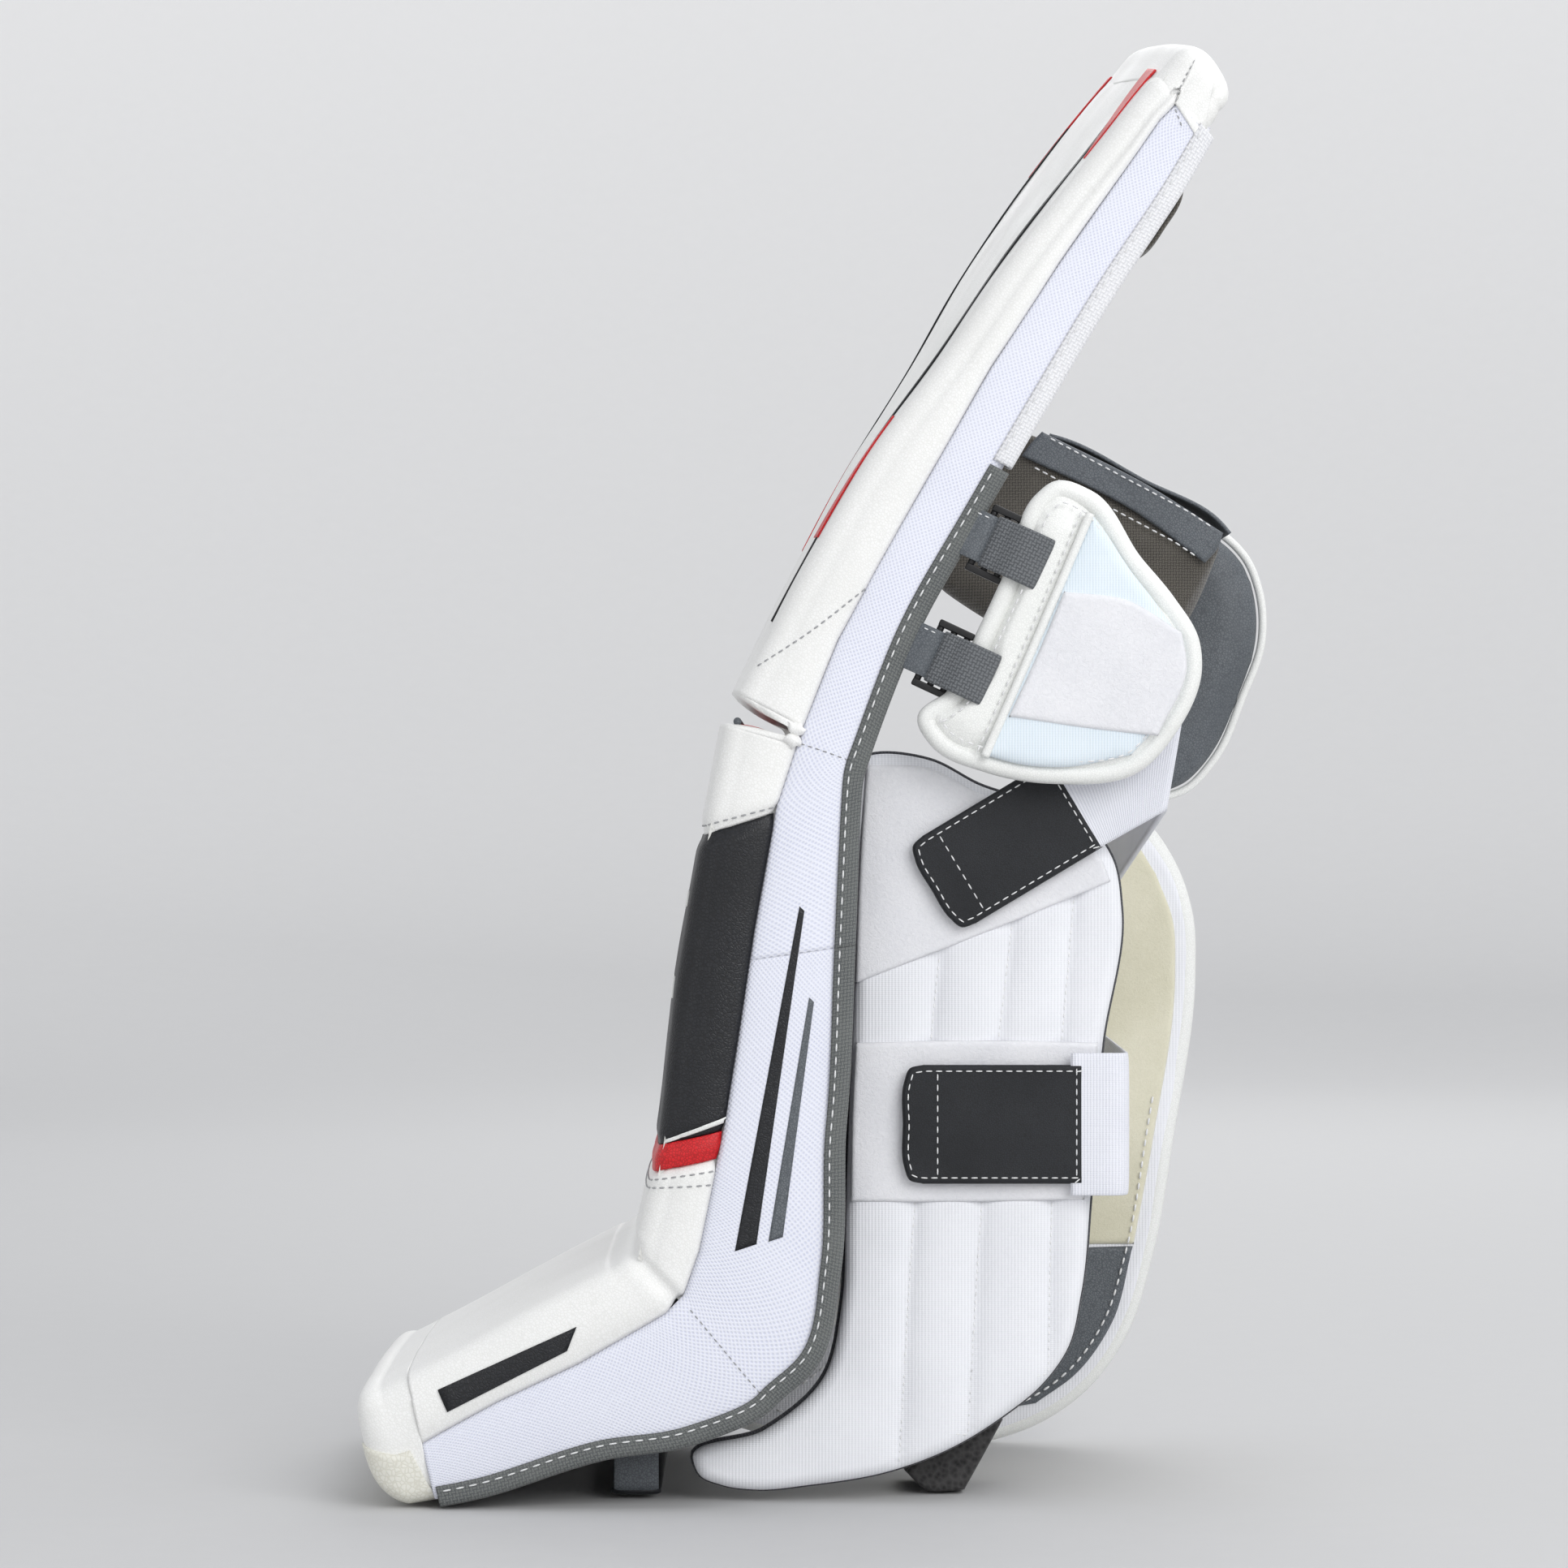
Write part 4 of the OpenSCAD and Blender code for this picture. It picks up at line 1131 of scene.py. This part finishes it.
lining = to_3d(closed_line(OUTER_WING, 400, 0.0004), -0.0962)
carry(piping("outer_wing_lining_edge", lining, 0.0016, back_nylon), "outer calf", "back_nylon")
for n, line in enumerate(OUTER_CHANNELS):
    sewn(f"wing_channel_stitches_{n}", line, [outer_wing], -1, "outer calf", pitch=0.0032,
         length=0.002, radius=0.00028)

INNER_WING = [
    [(15, 290), (70, 296), (125, 294), (141, 287), (156, 268)],
    [(156, 268), (165, 242), (166, 216), (156, 141), (146, 85), (135, 51), (118, 27), (96, 11),
     (76, 3.5), (20, 1.5), (-28, 5), (-42, 9)],
    [(-50, 14), (-48, 11), (-42, 9)],
    [(15, 290), (14, 250), (12, 190), (8, 122), (6, 84), (-4, 52), (-30, 30), (-50, 14)],
]
inner_wing = plate("inner_calf_wing_pad", INNER_WING, 0.101, 0.011, wing_mesh, 170, 80, 0.0055,
                   0.001, [[(50, 20), (55, 139), (62, 270)], [(90, 30), (95, 139), (105, 275)]],
                   (0.0026, 0.004), wave=0.0004)
carry(inner_wing, "inner calf", "wing_mesh", "inner_calf_wing")
rolled = to_3d(closed_line(INNER_WING, 420, 0.0034), 0.101)
carry(piping("inner_wing_rolled_rim", rolled, 0.0052, white_vinyl), "inner calf", "white_vinyl",
      "inner_wing_piping")
LINER = [[(18, 284), (70, 289), (120, 287), (136, 280), (149, 262)],
         [(149, 262), (157, 240), (158, 216), (148, 141), (139, 92)],
         [(12, 91), (60, 91), (139, 92)], [(18, 284), (16, 190), (12, 140), (12, 91)]]
liner = plate("inner_wing_liner_knit", LINER, 0.0949, 0.0032, cream_liner, 110, 70, 0.003,
              wave=0.0004, sharp=True)
carry(liner, "inner calf", "cream_liner", "inner_wing_liner")
GUARD = [[(12, 90), (70, 90), (138.5, 91)], [(138.5, 91), (129, 56), (113, 33), (94, 19)],
         [(12, 14), (50, 12), (94, 19)], [(12, 90), (10, 50), (12, 14)]]
guard = plate("inner_wing_wear_patch", GUARD, 0.0949, 0.0028, grey_vinyl, 50, 60, 0.002,
              sharp=True)
carry(guard, "inner calf", "grey_vinyl", "inner_wing_guard")
rim_seam = closed_line(INNER_WING, 500, 0.0115)[150:420]
for y, label in ((0.0925, "liner_side"), (0.1075, "outside")):
    stitches("rim_stitches_" + label, to_3d(rim_seam, y), (0, np.sign(y - 0.1), 0), "inner calf",
             0.005, 0.0034, 0.0005, finish="white_vinyl")
print("wings:", outer_wing.name, inner_wing.name)

# %% [markdown]
# ## Calf and knee straps
# Each strap starts on the inside of the inner wing, crosses behind the calf and grips the outer
# wing with a black hook tab. The elastic is knit with ribs across it. Straps are so thin that
# remeshing would erase them, so they are ribbons carried along their paths. At rest they are
# stretched, and they fold away with the inner wing.

# %% Straps


def bent(a, b, c, radius, count):
    """The round corner at b between the runs to a and c: a quadratic curve that starts and ends at
    radius from b."""
    s, e = b + radius * unit(a - b), b + radius * unit(c - b)
    t = np.linspace(0, 1, count)[:, None]
    return (1 - t) ** 2 * s + 2 * t * (1 - t) * b + t**2 * e


def corner_path(p, radius, count=90):
    """A path of straight runs with each of its corners bent by radius."""
    corners = [bent(a, b, c, radius, 10) for a, b, c in zip(p[:-2], p[1:-1], p[2:])]
    return along(np.vstack([p[:1], *corners, p[-1:]]), np.linspace(0, 1, count))


calf_path = corner_path(mm([[123, 90, 160], [123, -113, 160], [99, -113, 160]]), 0.008)
calf_elastic = ribbon("calf_elastic_band", calf_path, (0, 0, 1), 0.060, 0.0022, knit_elastic)
carry(calf_elastic, "calf_strap", "knit_elastic", "calf_strap_elastic")


def tab(name, left, right, half, middle, y, body, node, lean=None):
    """A hook tab: a plate with a rounded end, a hem roll round it, stitches inside its edge and a
    row of stitches across it."""
    shape = [[(left + 8, middle + half), (right, middle + half)],
             [(right, middle + half), (right, middle - half)],
             [(left + 8, middle - half), (right, middle - half)],
             [(left + 8, middle + half), (left + 2.2, middle + half - 1.6),
              (left, middle + half - 7), (left - 0.6, middle), (left, middle - half + 7),
              (left + 2.2, middle - half + 1.6), (left + 8, middle - half)]]
    piece = plate(name, shape, y, 0.0028, tab_vinyl, 60, 60, 0.0016, 0.0002, lean=lean, wave=0.0002,
                  sharp=True)
    carry(piece, body, "tab_vinyl", node)
    line = to_3d(closed_line(shape, 240, 0.0026, True), y - 0.0016)
    cross = mm([[left + 14, y * 1000 - 1.6, middle + end] for end in (half - 3, 3 - half)])
    cross = along(cross, np.linspace(0, 1, 30))
    out = (0, -1, 0)
    if lean:
        line, cross = leaned(line, *lean), leaned(cross, *lean)
    line = np.vstack([line, line[:1]])
    stitches(name + "_edge_stitches", line, out, body, 0.0042, 0.003, 0.0003, finish="tab_vinyl")
    stitches(name + "_cross_stitches", cross, out, body, 0.0042, 0.003, 0.0003, finish="tab_vinyl")
    return piece


tab("calf_grip_tab", 29, 104, 25, 160, -0.1131, "calf_strap", "calf_strap_tab")
KNEE_RUN = (mm([143, 0, 320]), -31)


def folded_edge(a, b, c, radius=0.004):
    """One edge of a folded strap: straight from a to the bend at b, round it, and straight to c,
    always with the same number of points, so that the two edges match."""
    bend = bent(a, b, c, radius, 12)
    return np.vstack([a + (bend[0] - a) * np.linspace(0, 1, 30)[:-1, None], bend,
                      bend[-1] + (c - bend[-1]) * np.linspace(0, 1, 60)[1:, None]])


run = leaned(mm([[-52, -114.1, 21], [-52, -114.1, -21]]), *KNEE_RUN)
upper_edge = folded_edge(run[0], *mm([[149.3, -114.1, 347.1], [119, 90, 281]]))
lower_edge = folded_edge(run[1], *mm([[139.9, -114.1, 292.4], [119, 90, 239]]))
v = np.linspace(0, 1, 26)[None, :, None]
knee_elastic = skin("knee_elastic_band", upper_edge[:, None] * (1 - v) + lower_edge[:, None] * v,
                    0.0022, (0.7, -0.7, 0), knit_elastic)
carry(knee_elastic, "knee_strap", "knit_elastic", "knee_strap_elastic")
tab("knee_grip_tab", -119, -48.6, 21.5, 0, -0.1131, "knee_strap", "knee_strap_tab", KNEE_RUN)

# %% [markdown]
# ## Padding by cloth simulation
# A stuffed pad swells between its seams in a way that is hard to draw. The pad's plain form is
# remeshed to even cells and treated as cloth with air pressure inside and no gravity. After twenty
# steps its points have moved out; the move is capped so that the pad stays in its own space. Seams
# are pressed in afterwards, because remeshing would erase them.

# %% Inflating


def coordinates(mesh):
    """A mesh's points as an array."""
    co = np.zeros(len(mesh.vertices) * 3, np.float32)
    mesh.vertices.foreach_get("co", co)
    return co.reshape(-1, 3).astype(float)


def applied(piece):
    """Applies a piece's modifiers."""
    bpy.context.view_layer.update()
    old, graph = piece.data, bpy.context.evaluated_depsgraph_get()
    fresh = bpy.data.meshes.new_from_object(piece.evaluated_get(graph))
    piece.modifiers.clear()
    piece.data = fresh
    fresh.name = piece.name
    bpy.data.meshes.remove(old)


def inflate(piece, pressure, cap, voxel=0.004, creases=()):
    """Remeshes a pad, swells it as cloth under pressure, caps each point's move, presses creases
    in and subdivides once. A crease is a line in space, its depth and its width."""
    remesh = piece.modifiers.new("even", "REMESH")
    remesh.mode, remesh.voxel_size = "VOXEL", voxel
    applied(piece)
    rest = coordinates(piece.data)
    cloth = piece.modifiers.new("air", "CLOTH")
    cloth.settings.quality = 5
    cloth.settings.mass = 0.3
    cloth.settings.tension_stiffness = cloth.settings.compression_stiffness = 15
    cloth.settings.shear_stiffness = 5
    cloth.settings.bending_stiffness = 0.5
    cloth.settings.use_pressure = True
    cloth.settings.uniform_pressure_force = pressure
    cloth.settings.effector_weights.gravity = 0
    cloth.point_cache.frame_start, cloth.point_cache.frame_end = 1, 20
    for step in range(1, 21):
        scene.frame_set(step)
    graph = bpy.context.evaluated_depsgraph_get()
    moved = coordinates(piece.evaluated_get(graph).data)
    piece.modifiers.remove(cloth)
    scene.frame_set(1)
    move = moved - rest
    size = np.linalg.norm(move, axis=1, keepdims=True)
    rest = rest + move * np.minimum(1, cap / np.maximum(size, 1e-9))
    normal = np.zeros(len(piece.data.vertices) * 3, np.float32)
    piece.data.vertices.foreach_get("normal", normal)
    normal = normal.reshape(-1, 3)
    for line, depth, width in creases:
        rest = rest - normal * (depth * np.exp(-distance(rest, line) / width))[:, None]
    piece.data.vertices.foreach_set("co", rest.astype(np.float32).ravel())
    piece.data.update()
    smooth = piece.modifiers.new("smooth", "SUBSURF")
    smooth.levels = smooth.render_levels = 1
    applied(piece)
    piece.data.polygons.foreach_set("use_smooth", [True] * len(piece.data.polygons))
    print(piece.name, "swelled,", len(piece.data.vertices), "points")
    return piece


def slab(name, low, high, corner, material, lean=None, rings=18):
    """A block with rounded edges: superellipse rings of width and height that shrink at both ends
    by a quarter circle."""
    low, high = mm(low), mm(high)
    middle, half = (low + high) / 2, (high - low) / 2
    corner = corner / 1000
    e = np.linspace(0, math.pi / 2, 6)
    end = half[0] - corner * (1 - np.sin(e))
    x = np.sort(np.r_[-end, np.linspace(-half[0], half[0], rings)[1:-1] * 0.9, end])
    inside = corner * (1 - np.sqrt(np.clip(1 - (np.clip(np.abs(x) - half[0] + corner, 0, None)
                                                / corner) ** 2, 0, 1)))
    q = round_angles(48)
    points = np.stack([middle[0] + x[:, None] + 0 * q,
                       middle[1] + signed(np.cos(q), 0.28) * (half[1] - inside[:, None]),
                       middle[2] + signed(np.sin(q), 0.28) * (half[2] - inside[:, None])], -1)
    return tube(name, leaned(points, *lean) if lean else points, material)


# %% [markdown]
# ## The liner behind the shin
# The leg rests on a cream knit pad that fills the channel between the wings. It swells between
# four sewn lines across it.

# %% Leg channel pad
liner_rows = part_of(LOWER, 7, 11, 30)
f = round_angles(64)[None]
wide, thick = 0.0675 * signed(np.cos(f), 0.3), 0.0043 * signed(np.sin(f), 0.4)
rings = at(liner_rows, depth_of(liner_rows) + 0.0072 + thick, wide + 0 * depth_of(liner_rows))
lines = []
for k in (6, 12, 18, 24):
    row = liner_rows[[k]]
    lines.append(at(row, depth_of(row) + 0.0125, np.linspace(-0.07, 0.07, 20)[None])[0])
channel_pad = inflate(tube("leg_channel_pad", rings, cream_liner), 4, 0.004,
                      creases=[(line, 0.0022, 0.004) for line in lines])
carry(channel_pad, "shin", "cream_liner", "shin_cushion")

# %% [markdown]
# ## Knee wing
# The outer knee wing is a stuffed vinyl pad with a white piped edge. A second piping divides the
# smooth vinyl in front from a pale blue knit panel behind it, with a band of brushed loop across.
# Two ladder-lock buckles hold it: grey webbing runs from each buckle over the wing's face.

# %% Knee wing
KNEE_WING = [
    [(86, 422), (92, 426.5), (105, 423)],
    [(105, 423), (125, 396), (139, 379), (149, 362), (150, 352), (139, 325), (126, 311)],
    [(37, 330), (42, 321), (64, 310.5), (91, 306), (126, 311)],
    [(86, 422), (74, 392), (62, 366), (49, 340), (37, 330)],
]
PIPED = [(107, 418), (84, 364), (61, 312)]
piped = to_3d(along(rounded(mm(PIPED)), np.linspace(0, 1, 90)), -0.1345)
knee_wing = inflate(plate("knee_wing_stuffed_pad", KNEE_WING, -0.127, 0.0115, white_vinyl, 70, 60,
                          0.006), 5, 0.003, 0.003, [(piped, 0.003, 0.005)])
carry(knee_wing, "knee_wing", "white_vinyl", "knee_wing_pad")
edge = to_3d(closed_line(KNEE_WING, 300, 0.0012), -0.1285)
carry(piping("knee_wing_edge_piping", edge, 0.0042, white_vinyl), "knee_wing", "white_vinyl",
      "knee_wing_binding")
QUILT = [[(107, 415), (113, 407)],
         [(113, 407), (122, 393), (135, 376), (144, 360), (144.5, 352), (135, 329), (123, 315)],
         [(62, 315), (78, 311), (95, 310), (123, 315)], [(107, 415), (84.5, 364), (62, 315)]]
quilt = plate("knee_wing_knit_panel", QUILT, -0.1338, 0.005, quilt_cloth, 70, 50, 0.005, 0.0012,
              wave=0.0003, sharp=True)
carry(quilt, "knee_wing", "quilted_textile", "knee_wing_textile")
GRIP = [[(95, 383), (120, 380), (144, 366)], [(144, 366), (146, 352), (134, 323)],
        [(72, 331), (105, 326), (134, 323)], [(95, 383), (84, 357), (72, 331)]]
grip = plate("knee_wing_grip_band", GRIP, -0.1366, 0.0036, loop_fabric, 50, 50, 0.002, 0.0008,
             wave=0.0003, sharp=True)
carry(grip, "knee_wing", "loop_fabric", "knee_wing_loop_band")
front_piping = np.stack([piped[:, 0], piped[:, 1] - 0.0012, piped[:, 2]], 1)[2:-2]
carry(piping("knee_wing_front_piping", front_piping, 0.0018, white_vinyl, False), "knee_wing",
      "white_vinyl")
stitches("knee_wing_piping_stitches", front_piping + mm([-3.4, 0.4, 1.4]), (0, -1, 0), "knee_wing",
         0.0042, 0.0028, 0.0004, finish="white_vinyl")
stitches("knee_wing_edge_stitches", to_3d(closed_line(KNEE_WING, 300, 0.0066), -0.1352), (0, -1, 0),
         "knee_wing", 0.0042, 0.0028, 0.0004, finish="white_vinyl")


# %% [markdown]
# ## Buckles and webbing
# A ladder lock is three bars between two rails, moulded in one. Its first bar turns in a folded
# vinyl tab on the pad's back edge, and the webbing wraps the middle bar. Bars are tubes and rails
# are rounded slabs, made in the buckle's own frame and leaned to the wing's fold line.

# %% Buckles


def joined(name, parts):
    """Several meshes as one object."""
    with bpy.context.temp_override(active_object=parts[0], object=parts[0],
                                   selected_editable_objects=parts, selected_objects=parts):
        bpy.ops.object.join()
    parts[0].name = parts[0].data.name = name
    return parts[0]


FOLD_AT, FOLD_LEAN = np.array([0.0425, -0.127, 0.365]), 25
WEB_PATH = mm([[6, 2.6], [3.6, 1.2], [3.2, -1.2], [5.4, -3.2], [9, -4.6], [12.5, -7.2],
               [16, -9.2], [20, -9.7], [24, -9.6], [27, -8.8], [27.6, -7.6]])
TAB_PATH = mm([[-9, -0.2], [-6, -1.6], [-2.6, -2.7], [0.4, -2.7], [2.3, -1.4], [2.5, 0.4],
               [1.2, 2.2], [-1.5, 2.6]])
u = np.array([math.sin(math.radians(FOLD_LEAN)), 0, math.cos(math.radians(FOLD_LEAN))])
for label, height in (("upper", 0.045), ("lower", -0.008)):
    here = (FOLD_AT + u * height, FOLD_LEAN)
    q = round_angles(20)[None]
    z = np.linspace(-0.0135, 0.0135, 12)[:, None]
    parts = []
    for x in (0, 0.006, 0.012):
        ring = np.stack([x + 0.0015 * np.cos(q) + 0 * z, 0.0015 * np.sin(q) + 0 * z, z + 0 * q], -1)
        parts.append(tube("bar", leaned(ring, *here), buckle_plastic))
    for z0 in (-15, 12):
        parts.append(slab("rail", (-1.6, -2.1, z0), (14.5, 2.1, z0 + 3), 0.8, buckle_plastic, here,
                          8))
    buckle = joined(label + "_ladder_lock", parts)
    carry(buckle, "knee_wing", "buckle_plastic", label + "_buckle")
    for name, table, wide, thick, finish, body, slot_name, node in (
            ("_webbing_strap", WEB_PATH, 0.0225, 0.0018, grey_elastic, "knee_wing", "grey_elastic",
             label + "_webbing"),
            ("_buckle_tab_fold", TAB_PATH, 0.0205, 0.0013, grey_vinyl, "thigh", "grey_vinyl",
             label + "_buckle_tab")):
        line = along(rounded(table), np.linspace(0, 1, 50))
        path = leaned(np.pad(line, [(0, 0), (0, 1)]), *here)
        strip = carry(ribbon(label + name, path, u, wide, thick, finish), body, slot_name, node)
        if name == "_webbing_strap":
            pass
        else:
            edge_line = path[6:24] + u * 0.0085 + mm([0, -0.7, 0])
            stitches(label + "_buckle_tab_stitches", edge_line, (0, -1, 0), body, 0.003, 0.002,
                     0.0003, finish=slot_name)
print("buckles and webbing are in place")

# %% [markdown]
# ## Knee block
# Behind the knee, on the inner side, a canvas block carries the landing pad that the knee comes
# down on. The landing pad is grey moulded vinyl over foam with white piping round its middle, and
# a grey band crosses the block's top. Block and pad are swelled as cloth.

# %% Knee block and landing pad
THIGH_FRAME = (mm([11, 0, 312.5]), 28)
block = inflate(slab("knee_block_canvas", (-8, 64.5, 88.5), (101, 109, 169.5), 6, charcoal,
                     THIGH_FRAME), 4, 0.0035, 0.004)
carry(block, "knee_block", "charcoal_fabric", "knee_block_base")
strip = [[(4, 172), (60, 173), (98, 170)], [(98, 170), (99, 162), (97, 154)],
         [(1, 158), (60, 159.5), (97, 154)], [(4, 172), (2, 165), (1, 158)]]
face_band = plate("knee_block_face_band", strip, 0.0618, 0.003, grey_vinyl, 24, 60, 0.0015,
                  lean=THIGH_FRAME, sharp=True)
carry(face_band, "knee_block", "grey_vinyl")
for n, z in enumerate((171, 156)):
    line = leaned(mm([[x, 60.2, z - max(x - 80, 0) * 0.1] for x in range(8, 96, 4)]), *THIGH_FRAME)
    stitches(f"block_band_stitches_{n}", line, (0, -1, 0), "knee_block", 0.004, 0.0028, 0.0004,
             finish="charcoal_fabric")
top_path = leaned(mm([[8, 87, 172.5], [14, 87, 173.8], [55, 87, 174.4], [96, 87, 173.6],
                      [101, 87, 171.5]]), *THIGH_FRAME)
top_band = ribbon("knee_block_top_band", along(rounded(top_path), np.linspace(0, 1, 60)), (0, 1, 0),
                  0.042, 0.0026, grey_vinyl, 0.25)
carry(top_band, "knee_block", "grey_vinyl", "knee_block_band")
LANDING = [[(72, 171), (90, 172.5), (103, 172), (115, 168), (127, 158)],
           [(127, 158), (139, 138), (143, 112), (145, 80), (139, 61)],
           [(76, 66), (84, 57), (110, 54), (131, 54), (139, 61)],
           [(72, 171), (71.5, 120), (76, 66)]]
landing = inflate(plate("knee_landing_stuffed_pad", LANDING, 0.1243, 0.0205, grey_vinyl, 60, 50,
                        0.007, lean=THIGH_FRAME), 4, 0.0025, 0.004)
carry(landing, "knee_block", "grey_vinyl", "knee_landing_pad")
line = leaned(to_3d(closed_line(LANDING, 260, -0.0016), 0.124), *THIGH_FRAME)
carry(piping("knee_landing_edge_piping", line, 0.0019, white_vinyl), "knee_block", "white_vinyl",
      "knee_landing_piping")
print("knee block:", block.name, landing.name)

# %% [markdown]
# ## Small parts under and behind the pad
# A foam wedge holds the heel up, a black strap hangs under the boot between two vinyl loops, and
# a canvas loop behind the thigh hangs the pad on a hook.

# %% Wedge, boot strap and hang loop
WEDGE = [[(29, 9.5), (40, 22), (51, 34.5)], [(51, 34.5), (62, 33.6), (73, 31.5)],
         [(56, 0.6), (64, 15), (73, 31.5)], [(29, 9.5), (39, 0.6), (56, 0.6)]]
wedge = plate("heel_foam_wedge", WEDGE, -0.055, 0.0495, dark_foam, 26, 26, 0.0022, sharp=True)
carry(wedge, "shin", "dark_foam", "heel_wedge")
strap_x = (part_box("boot_strap")[0].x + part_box("boot_strap")[1].x) / 2
y = np.linspace(-0.096, 0.096, 60)
strap_path = np.stack([0 * y + strap_x, y, 0.0042 + 0.0006 * np.cos(y * 30)], 1)
strap = ribbon("boot_strap_webbing", strap_path, (1, 0, 0), 0.021, 0.0022, tab_vinyl)
carry(strap, "boot_strap", "tab_vinyl", "boot_strap")
loops = []
for side in (-1, 1):
    path = rounded(mm([[0, 98.4, 23], [0, 97.6, 12], [0, 96, 5.6], [0, 90, 2.6], [0, 84, 2.3]]))
    path = along(path * [1, side, 1], np.linspace(0, 1, 40)) + [strap_x, 0, 0]
    loops.append(ribbon("loop", path, (1, 0, 0), 0.019, 0.0024, grey_vinyl))
loops = joined("boot_strap_end_loops", loops)
carry(loops, "boot_strap", "grey_vinyl", "boot_strap_loops")
HANG = (mm([113, -103.5, 509]), 33.4)
path = leaned(mm([[1.6, 0, 16], [2.6, 0, 21], [4.7, 0, 27], [5.2, 0, 38], [4.7, 0, 50],
                  [2.6, 0, 56], [1.6, 0, 61]]), *HANG)
hang = ribbon("hang_loop_webbing", along(rounded(path), np.linspace(0, 1, 60)), (0, 1, 0), 0.024,
              0.0022, charcoal)
carry(hang, "thigh", "grey_binding", "hang_loop")
print("small parts:", wedge.name, strap.name, hang.name)

# %% [markdown]
# ## Generic graphics
# Pads carry printed or inlaid shapes. These are plain stripes and wedges: thin films laid on the
# surface, each a small grid dropped onto the piece below it, so that it follows every bulge.

# %% Printed and inlaid shapes


def film(name, corners, pieces, side, how, material, finish, rows=6, cols=40, lift=0.00025):
    """A thin film between four corners in X and Z (millimetres), dropped onto pieces."""
    a, b, c, d = mm(corners)
    u, v = np.linspace(0, 1, cols)[None, :, None], np.linspace(0, 1, rows)[:, None, None]
    flat = (1 - v) * ((1 - u) * a + u * b) + v * ((1 - u) * d + u * c)
    points, normal = landed(flat.reshape(-1, 2), pieces, side)
    grid = (points + normal * lift).reshape(rows, cols, 3)
    return carry(skin(name, grid, 0.0002, (0, side, 0), material), how, finish)


def front_inlay(name, profile_rows, left, right, how, material, finish, lift):
    """An inlay on the front between two widths that change in step along the rows."""
    n = len(profile_rows)
    f = np.linspace(0, 1, 16)[None]
    left, right = np.linspace(*left, n)[:, None], np.linspace(*right, n)[:, None]
    w = left + (right - left) * f
    d = -FRONT_CROWN * np.clip(1 - (w / (HALF_W - CORNER)) ** 2, 0, 1) ** 0.6 - lift
    return carry(skin(name, at(profile_rows, d, w), 0.0008, (-1, 0, 0.2), material), how, finish)


for label, side in (("outer", -1), ("inner", 1)):
    both = [sides["low", label], sides["high", label]]
    film("side_stripe_long_" + label, [(-42, 108), (-33, 111), (-13, 250), (-15, 252)], both, side,
         "shin", black_leather, "black_leather", 60, 6)
    film("side_stripe_short_" + label, [(-28, 112), (-22, 114), (-9, 212), (-11, 214)], both, side,
         "shin", grey_vinyl, "grey_vinyl", 50, 5)
    film("boot_stripe_long_" + label, [(-166, 50), (-162, 41), (-112, 66.5), (-108, 76.5)],
         [lower_leather, toe], side, "boot", black_leather, "black_leather", 14, 60, 0.0006)
    film("chevron_outline_" + label, [(-71.5, 152.6), (-71, 154.4), (-45.6, 164.2), (-46.2, 162)],
         [lower_leather, red_band, black_panel], side, "shin", white_vinyl, "white_leather",
         30, 4, 0.0006)
    top_end = [cap, sides["high", label], thigh_leather]
    film("cap_wrap_" + label, [(150.5, 606), (158, 597), (153, 569), (141.5, 587.5)], top_end, side,
         "thigh", white_leather, "white_leather", 20, 20, 0.0005)
    sewn("cap_wrap_stitches_" + label, [(150.5, 606), (145.5, 597), (141.8, 587), (144.5, 577)],
         top_end, side, "thigh", **FINE_GREY)
RED, BLACK = (red_leather, "red_leather", 0.0008), (black_leather, "black_leather", 0.0006)
# Name, rows, both ends of the edge far from the middle and of the edge near it, body, finish
INLAYS = [
    ("front_line_", part_of(UPPER, 0.6, 5.8, 150), [0.108, 0.104], [0.104, 0.098], "thigh", BLACK),
    ("front_wedge_", part_of(UPPER, 4.9, 5.97, 40), [0.1125, 0.1125], [0.1115, 0.085], "thigh",
     RED),
    ("front_low_wedge_", part_of(UPPER, 1.3, 2.4, 40), [0.1125, 0.1125], [0.09, 0.1115], "thigh",
     RED),
    *((f"black_panel_slash_{k}_", part_of(LOWER, z, z + 0.14, 12), [0.113, 0.108], [0.07, 0.062],
       "shin", (white_vinyl, "white_leather", 0.0006)) for k, z in enumerate((9.85, 10.5))),
]
for n, side in enumerate((-1, 1)):
    for name, rows, far, near, how, look in INLAYS:
        front_inlay(f"{name}{n}", rows, side * np.array(far), side * np.array(near), how, *look)
print("graphics are on")
